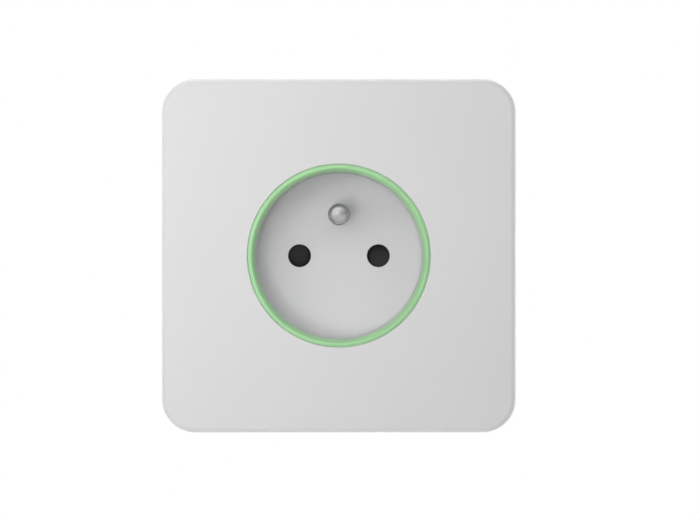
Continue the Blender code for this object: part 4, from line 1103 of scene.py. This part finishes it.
lamp_tree, given = pattern_tree("lamps_round_board")
feeds = {"Vertices": LAMP_COUNT, "Radius": given["Size"]}
places = add_node(lamp_tree, "GeometryNodeMeshCircle", feeds)
position = add_node(lamp_tree, "GeometryNodeInputPosition").outputs["Position"]
outwards = add_node(lamp_tree, "FunctionNodeAlignRotationToVector", {"Vector": position}, axis="X")
lamp_places = stood_up(places.outputs["Mesh"], turn=math.pi / LAMP_COUNT)
set_pattern(given, lamp_places, outwards.outputs["Rotation"])
lamp_finish = lamp_resin()
lamps = grown("lamp_set", lamp_tree, lamp_ring_radius, lamp_pattern, lamp_finish)
lamp_nodes = [f"led_{number}" for number in range(1, LAMP_COUNT + 1)]
stands_for(lamps, lamp_finish, "base", "lamp", *lamp_nodes)


# Light ring: the diffuser, seen as a thin green ring. Its foot lies over the lamps, its tail on the insert.
# Moulded in translucent green acrylic. The lamps' light through it is painted: its colour is a little
# brighter over each lamp, and it glows faintly.
RING_GREEN = (0.39, 0.71, 0.365)
# A faint painted glow: the ring gives out light of its own, in place of the lamps' light through it.
RING_PAINTED_GLOW = 0.01
RING_CREST_AT = 0.00099
RING_CREST_POWER = 1.7
RING_INNER_DROP = 0.0019
RING_OUTER_DROP = 0.0004
RING_WIDTH = 0.00176
RING_STEPS = 12
RING_SEGMENTS = 256
FOOT_THICKNESS = 0.0006
FOOT_FRONT = 0.0023


def calculated(operation, *values):
    feeds = dict(enumerate(values))
    return add_node(values[0], "ShaderNodeMath", feeds, operation=operation).outputs["Value"]


def lit_green():
    """Green acrylic with painted lamplight: its colour, and with it its faint painted glow, is fullest where
    the turn round the axis meets a lamp.
    """
    material, shader, place = blank_finish("lit_green")
    turn = calculated("ARCTAN2", axes(place)["Z"], axes(place)["X"])
    wave = calculated("COSINE", calculated("MULTIPLY", turn, LAMP_COUNT))
    # Painted lamplight: the colour is fullest over each lamp and a little darker between them.
    share = between(wave, 0.0, 1.0, start=-1.0)
    tint = shades(share, [(0.0, RING_GREEN), (1.0, darker(RING_GREEN, share=0.97))])
    gloss = between(noise(place, scale=500.0, detail=3.0), low=0.28, high=0.4)
    feed(shader, {"Base Color": tint, "Roughness": gloss})
    # Painted glow in the ring's own colour.
    feed(shader, {"Emission Color": tint, "Emission Strength": RING_PAINTED_GLOW})
    relief(shader, noise(place, scale=3000.0, detail=1.0), depth=0.000006, strength=0.2)
    return material


ring_outer = WELL_RADIUS + RING_WIDTH
crest_radius = WELL_RADIUS + RING_CREST_AT
foot_front = plate_front + FOOT_FRONT
foot_back = foot_front + FOOT_THICKNESS
ring_profile = [(WELL_RADIUS, ring_high.y)]
for step in range(-RING_STEPS, RING_STEPS + 1):
    share = step / RING_STEPS
    reach = RING_CREST_AT if step < 0 else RING_WIDTH - RING_CREST_AT
    drop = RING_INNER_DROP if step < 0 else RING_OUTER_DROP
    ring_profile.append((crest_radius + share * reach, ring_low.y + abs(share) ** RING_CREST_POWER * drop))
ring_profile += [
    (ring_outer, foot_front),
    (ring_high.x, foot_front),
    (ring_high.x, foot_back),
    (barrel_radius, foot_back),
    (barrel_radius, ring_high.y),
]
section_mesh = bpy.data.meshes.new("ring_section")
count = len(ring_profile)
section_points = [(radius - crest_radius, y, 0.0) for radius, y in ring_profile]
section_mesh.from_pydata(section_points, [(i, (i + 1) % count) for i in range(count)], [])
ring_section = placed("ring_section", section_mesh)

ring_tree, given = pattern_tree("ring_sweep")
feeds = {"Resolution": RING_SEGMENTS, "Radius": given["Size"]}
path = add_node(ring_tree, "GeometryNodeCurvePrimitiveCircle", feeds)
section = add_node(ring_tree, "GeometryNodeMeshToCurve", {"Mesh": pattern_shape(given)})
feeds = {"Curve": path.outputs["Curve"], "Profile Curve": section.outputs["Curve"]}
sweep = add_node(ring_tree, "GeometryNodeCurveToMesh", feeds)
finish_tree(given, stood_up(sweep.outputs["Mesh"]))
ring_finish = lit_green()
light_ring = grown("light_ring_swept", ring_tree, crest_radius, ring_section, ring_finish)
clean(light_ring)
smooth(light_ring)
stands_for(light_ring, ring_finish, "base", "ring_green", "light_ring")
# The earth pin's nickel mirrors the pale studio alone, without a green rim.
light_ring.visible_glossy = False


# Cover plate: the square plate that clips on last and shows on the wall, round the ring and the well.
# One white moulding, hollow behind its face, with ribs to the corners and four legs that slide into the yoke.
PLATE_CORNER = 0.008
PLATE_EDGE = 0.0012
PLATE_SKIN = 0.002
PLATE_RIM = 0.002
PLATE_HOLE_EDGE = 0.0003
HOLE_ROOM = 0.00007
RIB_HALF = 0.0006
RIB_HEIGHT = 0.002
RIB_START = 0.0275
LEG_REACH = 0.004
LEG_TIP = 0.0004
WALL_PLANE = 0.0
PLATE_WHITE = (0.693, 0.695, 0.693)

plate_side = plate_high.x - plate_low.x
plate_back = plate_front + PLATE_SKIN
hollow_side = plate_side - 2 * PLATE_RIM
hollow_corner = PLATE_CORNER - PLATE_RIM
hole_radius = ring_outer + HOLE_ROOM


def hole_ring(radius, y):
    return circle_like(rounded_square(plate_side, PLATE_CORNER, y), radius)


plate_rings = [hole_ring(hole_radius, plate_back)]
for gone, along in quarter_round(PLATE_HOLE_EDGE):
    plate_rings.append(hole_ring(hole_radius + gone, plate_front + PLATE_HOLE_EDGE - along))
for gone, along in reversed(quarter_round(PLATE_EDGE, steps=10)):
    level = plate_front + PLATE_EDGE - along
    plate_rings.append(rounded_square(plate_side - 2 * gone, PLATE_CORNER - gone, level))
plate_rings.append(rounded_square(plate_side, PLATE_CORNER, WALL_PLANE))
plate_rings += [rounded_square(hollow_side, hollow_corner, y) for y in (WALL_PLANE, plate_back)]

rib_end = math.sqrt(2) * (hollow_side / 2 - hollow_corner) + PLATE_CORNER - PLATE_RIM / 2
rib_levels = (plate_back - CLEARANCE, plate_back + RIB_HEIGHT)
rib_points, rib_faces = bar(RIB_START, rib_end, *rib_levels, -RIB_HALF, RIB_HALF)
behind = []
for quarter in range(4):
    turn = math.pi / 4 + math.pi / 2 * quarter
    c, s = math.cos(turn), math.sin(turn)
    behind.append(([(x * c - z * s, y, x * s + z * c) for x, y, z in rib_points], rib_faces))
leg_levels = ((plate_back - CLEARANCE, 0.0), (LEG_REACH - LEG_TIP, 0.0), (LEG_REACH, LEG_TIP))
for sx, sz in CORNERS:
    leg_rings = []
    for level, taper in leg_levels:
        a, b = LEG_THICKNESS / 2 - taper, LEG_WIDTH / 2 - taper
        leg_rings.append([(sx * LEG_X + u * a, level, sz * LEG_Z + v * b) for u, v in CORNERS])
    behind.append(loft(leg_rings))
cover = shaped("cover_moulding", loft(plate_rings, closed=True), [("UNION", behind)])
stands_for(cover, moulded("cover_white", PLATE_WHITE, roughness=0.42), "cover", "cover_white", "cover_plate")


# Stage: a pale floor well below the part and a white studio round it, so that metal has something to show.
# Soft boxes in front give the plate its fall of light from left to right. Rim boxes beside and a little
# behind it light its edge.
FLOOR_LEVEL = -0.5
FLOOR_HALF = 2.4
FLOOR_PALE = (0.8, 0.8, 0.8)
FLOOR_IN_METAL = 0.6
STUDIO_FILL = 0.005
BRIGHT_SIDE = (-0.87, 0.0, 0.5)
BRIGHT_EDGE = 0.5
DIM_SIDE_LEVEL = 0.42
DIM_BELT = (0.3, 0.75)
DIM_BELT_LEVEL = 0.62


def instead(ray, first, second):
    """Shows the second shader in place of the first to one kind of ray."""
    rays = add_node(first, "ShaderNodeLightPath")
    mix = add_node(first, "ShaderNodeMixShader", {0: rays.outputs[ray], 1: first, 2: second})
    return mix.outputs["Shader"]


def pale_floor():
    """Pale, with the part's shadow on it, and as bright in metal as the studio's lower side."""
    material, shader, place = blank_finish("pale_floor")
    tint = two_tone(noise(place, scale=4.0), darker(FLOOR_PALE, share=0.98), FLOOR_PALE)
    feed(shader, {"Base Color": tint, "Roughness": 0.9})
    mirrored = add_node(shader, "ShaderNodeEmission", {"Strength": FLOOR_IN_METAL}).outputs["Emission"]
    surface = instead("Is Glossy Ray", shader.outputs["BSDF"], mirrored)
    feed(material.node_tree.nodes["Material Output"], {"Surface": surface})
    return material


def white_studio():
    """White where it is seen, white to pale grey from left to right in metal, and a grey fill as light."""
    world = bpy.data.worlds.new("studio")
    world.use_nodes = True
    tree = world.node_tree
    tree.nodes.remove(tree.nodes["Background"])

    def backdrop(strength):
        node = add_node(tree, "ShaderNodeBackground", {"Color": (*WHITE, 1.0), "Strength": strength})
        return node.outputs["Background"]

    heading = add_node(tree, "ShaderNodeTexCoord").outputs["Generated"]
    side = vector_maths("DOT_PRODUCT", heading, BRIGHT_SIDE)["Value"]
    level = between(side, DIM_SIDE_LEVEL, 1.0, -BRIGHT_EDGE, BRIGHT_EDGE)
    belt = between(calculated("ABSOLUTE", axes(heading)["Y"]), DIM_BELT_LEVEL, 1.0, *DIM_BELT)
    seen = backdrop(1.0)
    mirrored = backdrop(calculated("MULTIPLY", level, belt))
    surface = instead("Is Glossy Ray", backdrop(STUDIO_FILL), mirrored)
    surface = instead("Is Transmission Ray", surface, seen)
    surface = instead("Is Camera Ray", surface, seen)
    feed(tree.nodes["World Output"], {"Surface": surface})
    return world


def soft_box(name, around, off_axis, distance, size, power):
    """A square light aimed at the well, turned round the part's axis and tilted away from it, in degrees."""
    light = bpy.data.lights.new(name, "AREA")
    light.size = size
    light.energy = power
    box = placed(name, light)
    turn, tilt = math.radians(around), math.radians(off_axis)
    ahead, aside = distance * math.cos(tilt), distance * math.sin(tilt)
    box.location = (aside * math.cos(turn), plate_front - ahead, aside * math.sin(turn))
    aim = Vector((0.0, plate_front, 0.0)) - box.location
    box.rotation_euler = aim.to_track_quat("-Z", "Y").to_euler()
    box.visible_glossy = False


floor_points = [(sx * FLOOR_HALF, sy * FLOOR_HALF, FLOOR_LEVEL) for sx, sy in CORNERS]
floor_mesh = bpy.data.meshes.new("studio_floor")
floor_mesh.from_pydata(floor_points, [], [(0, 1, 2, 3)])
floor_mesh.materials.append(pale_floor())
studio_floor = placed("studio_floor", floor_mesh)
studio_floor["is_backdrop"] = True
bpy.context.scene.world = white_studio()
soft_box("left_box", around=180, off_axis=25, distance=0.25, size=0.146, power=0.078)
soft_box("lower_left_box", around=220, off_axis=14, distance=0.6, size=0.14, power=0.68)
soft_box("upper_box", around=100, off_axis=25, distance=0.3, size=0.175, power=0.18)
soft_box("right_box", around=0, off_axis=25, distance=1.2, size=0.7, power=0.86)
soft_box("far_right_box", around=45, off_axis=50, distance=1.2, size=0.7, power=2.7)
soft_box("near_upper_left_box", around=156, off_axis=50, distance=0.2, size=0.2, power=0.134)
soft_box("near_left_box", around=180, off_axis=35, distance=0.3, size=0.2, power=0.115)
soft_box("left_rim_box", around=180, off_axis=110, distance=0.6, size=0.3, power=1.2)
soft_box("top_rim_box", around=90, off_axis=110, distance=0.6, size=0.3, power=3.0)
soft_box("right_rim_box", around=0, off_axis=110, distance=0.6, size=0.3, power=2.6)
soft_box("low_rim_box", around=270, off_axis=110, distance=0.2, size=0.2, power=0.24)


# Camera: level and square to the plate, from far off, so that the well shows hardly any of its side.
# The plate's width and middle in the photograph, in pixels, give the lens and the camera's place.
FRAME_WIDTH, FRAME_HEIGHT = 700.0, 520.0
PLATE_PIXELS = 353.4
PLATE_PIXEL_X, PLATE_PIXEL_Y = 338.92, 255.7
CAMERA_DISTANCE = 6.0

pixel = plate_side / PLATE_PIXELS
camera_data = bpy.data.cameras.new("camera")
camera_data.lens = camera_data.sensor_width * CAMERA_DISTANCE / (pixel * FRAME_WIDTH)
camera = placed("camera", camera_data)
right = (FRAME_WIDTH / 2 - PLATE_PIXEL_X) * pixel
up = (PLATE_PIXEL_Y - FRAME_HEIGHT / 2) * pixel
camera.location = (right, plate_front - CAMERA_DISTANCE, up)
camera.rotation_euler = (math.pi / 2, 0.0, 0.0)
bpy.context.scene.camera = camera
bpy.context.scene.view_settings.view_transform = "Standard"

low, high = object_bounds()
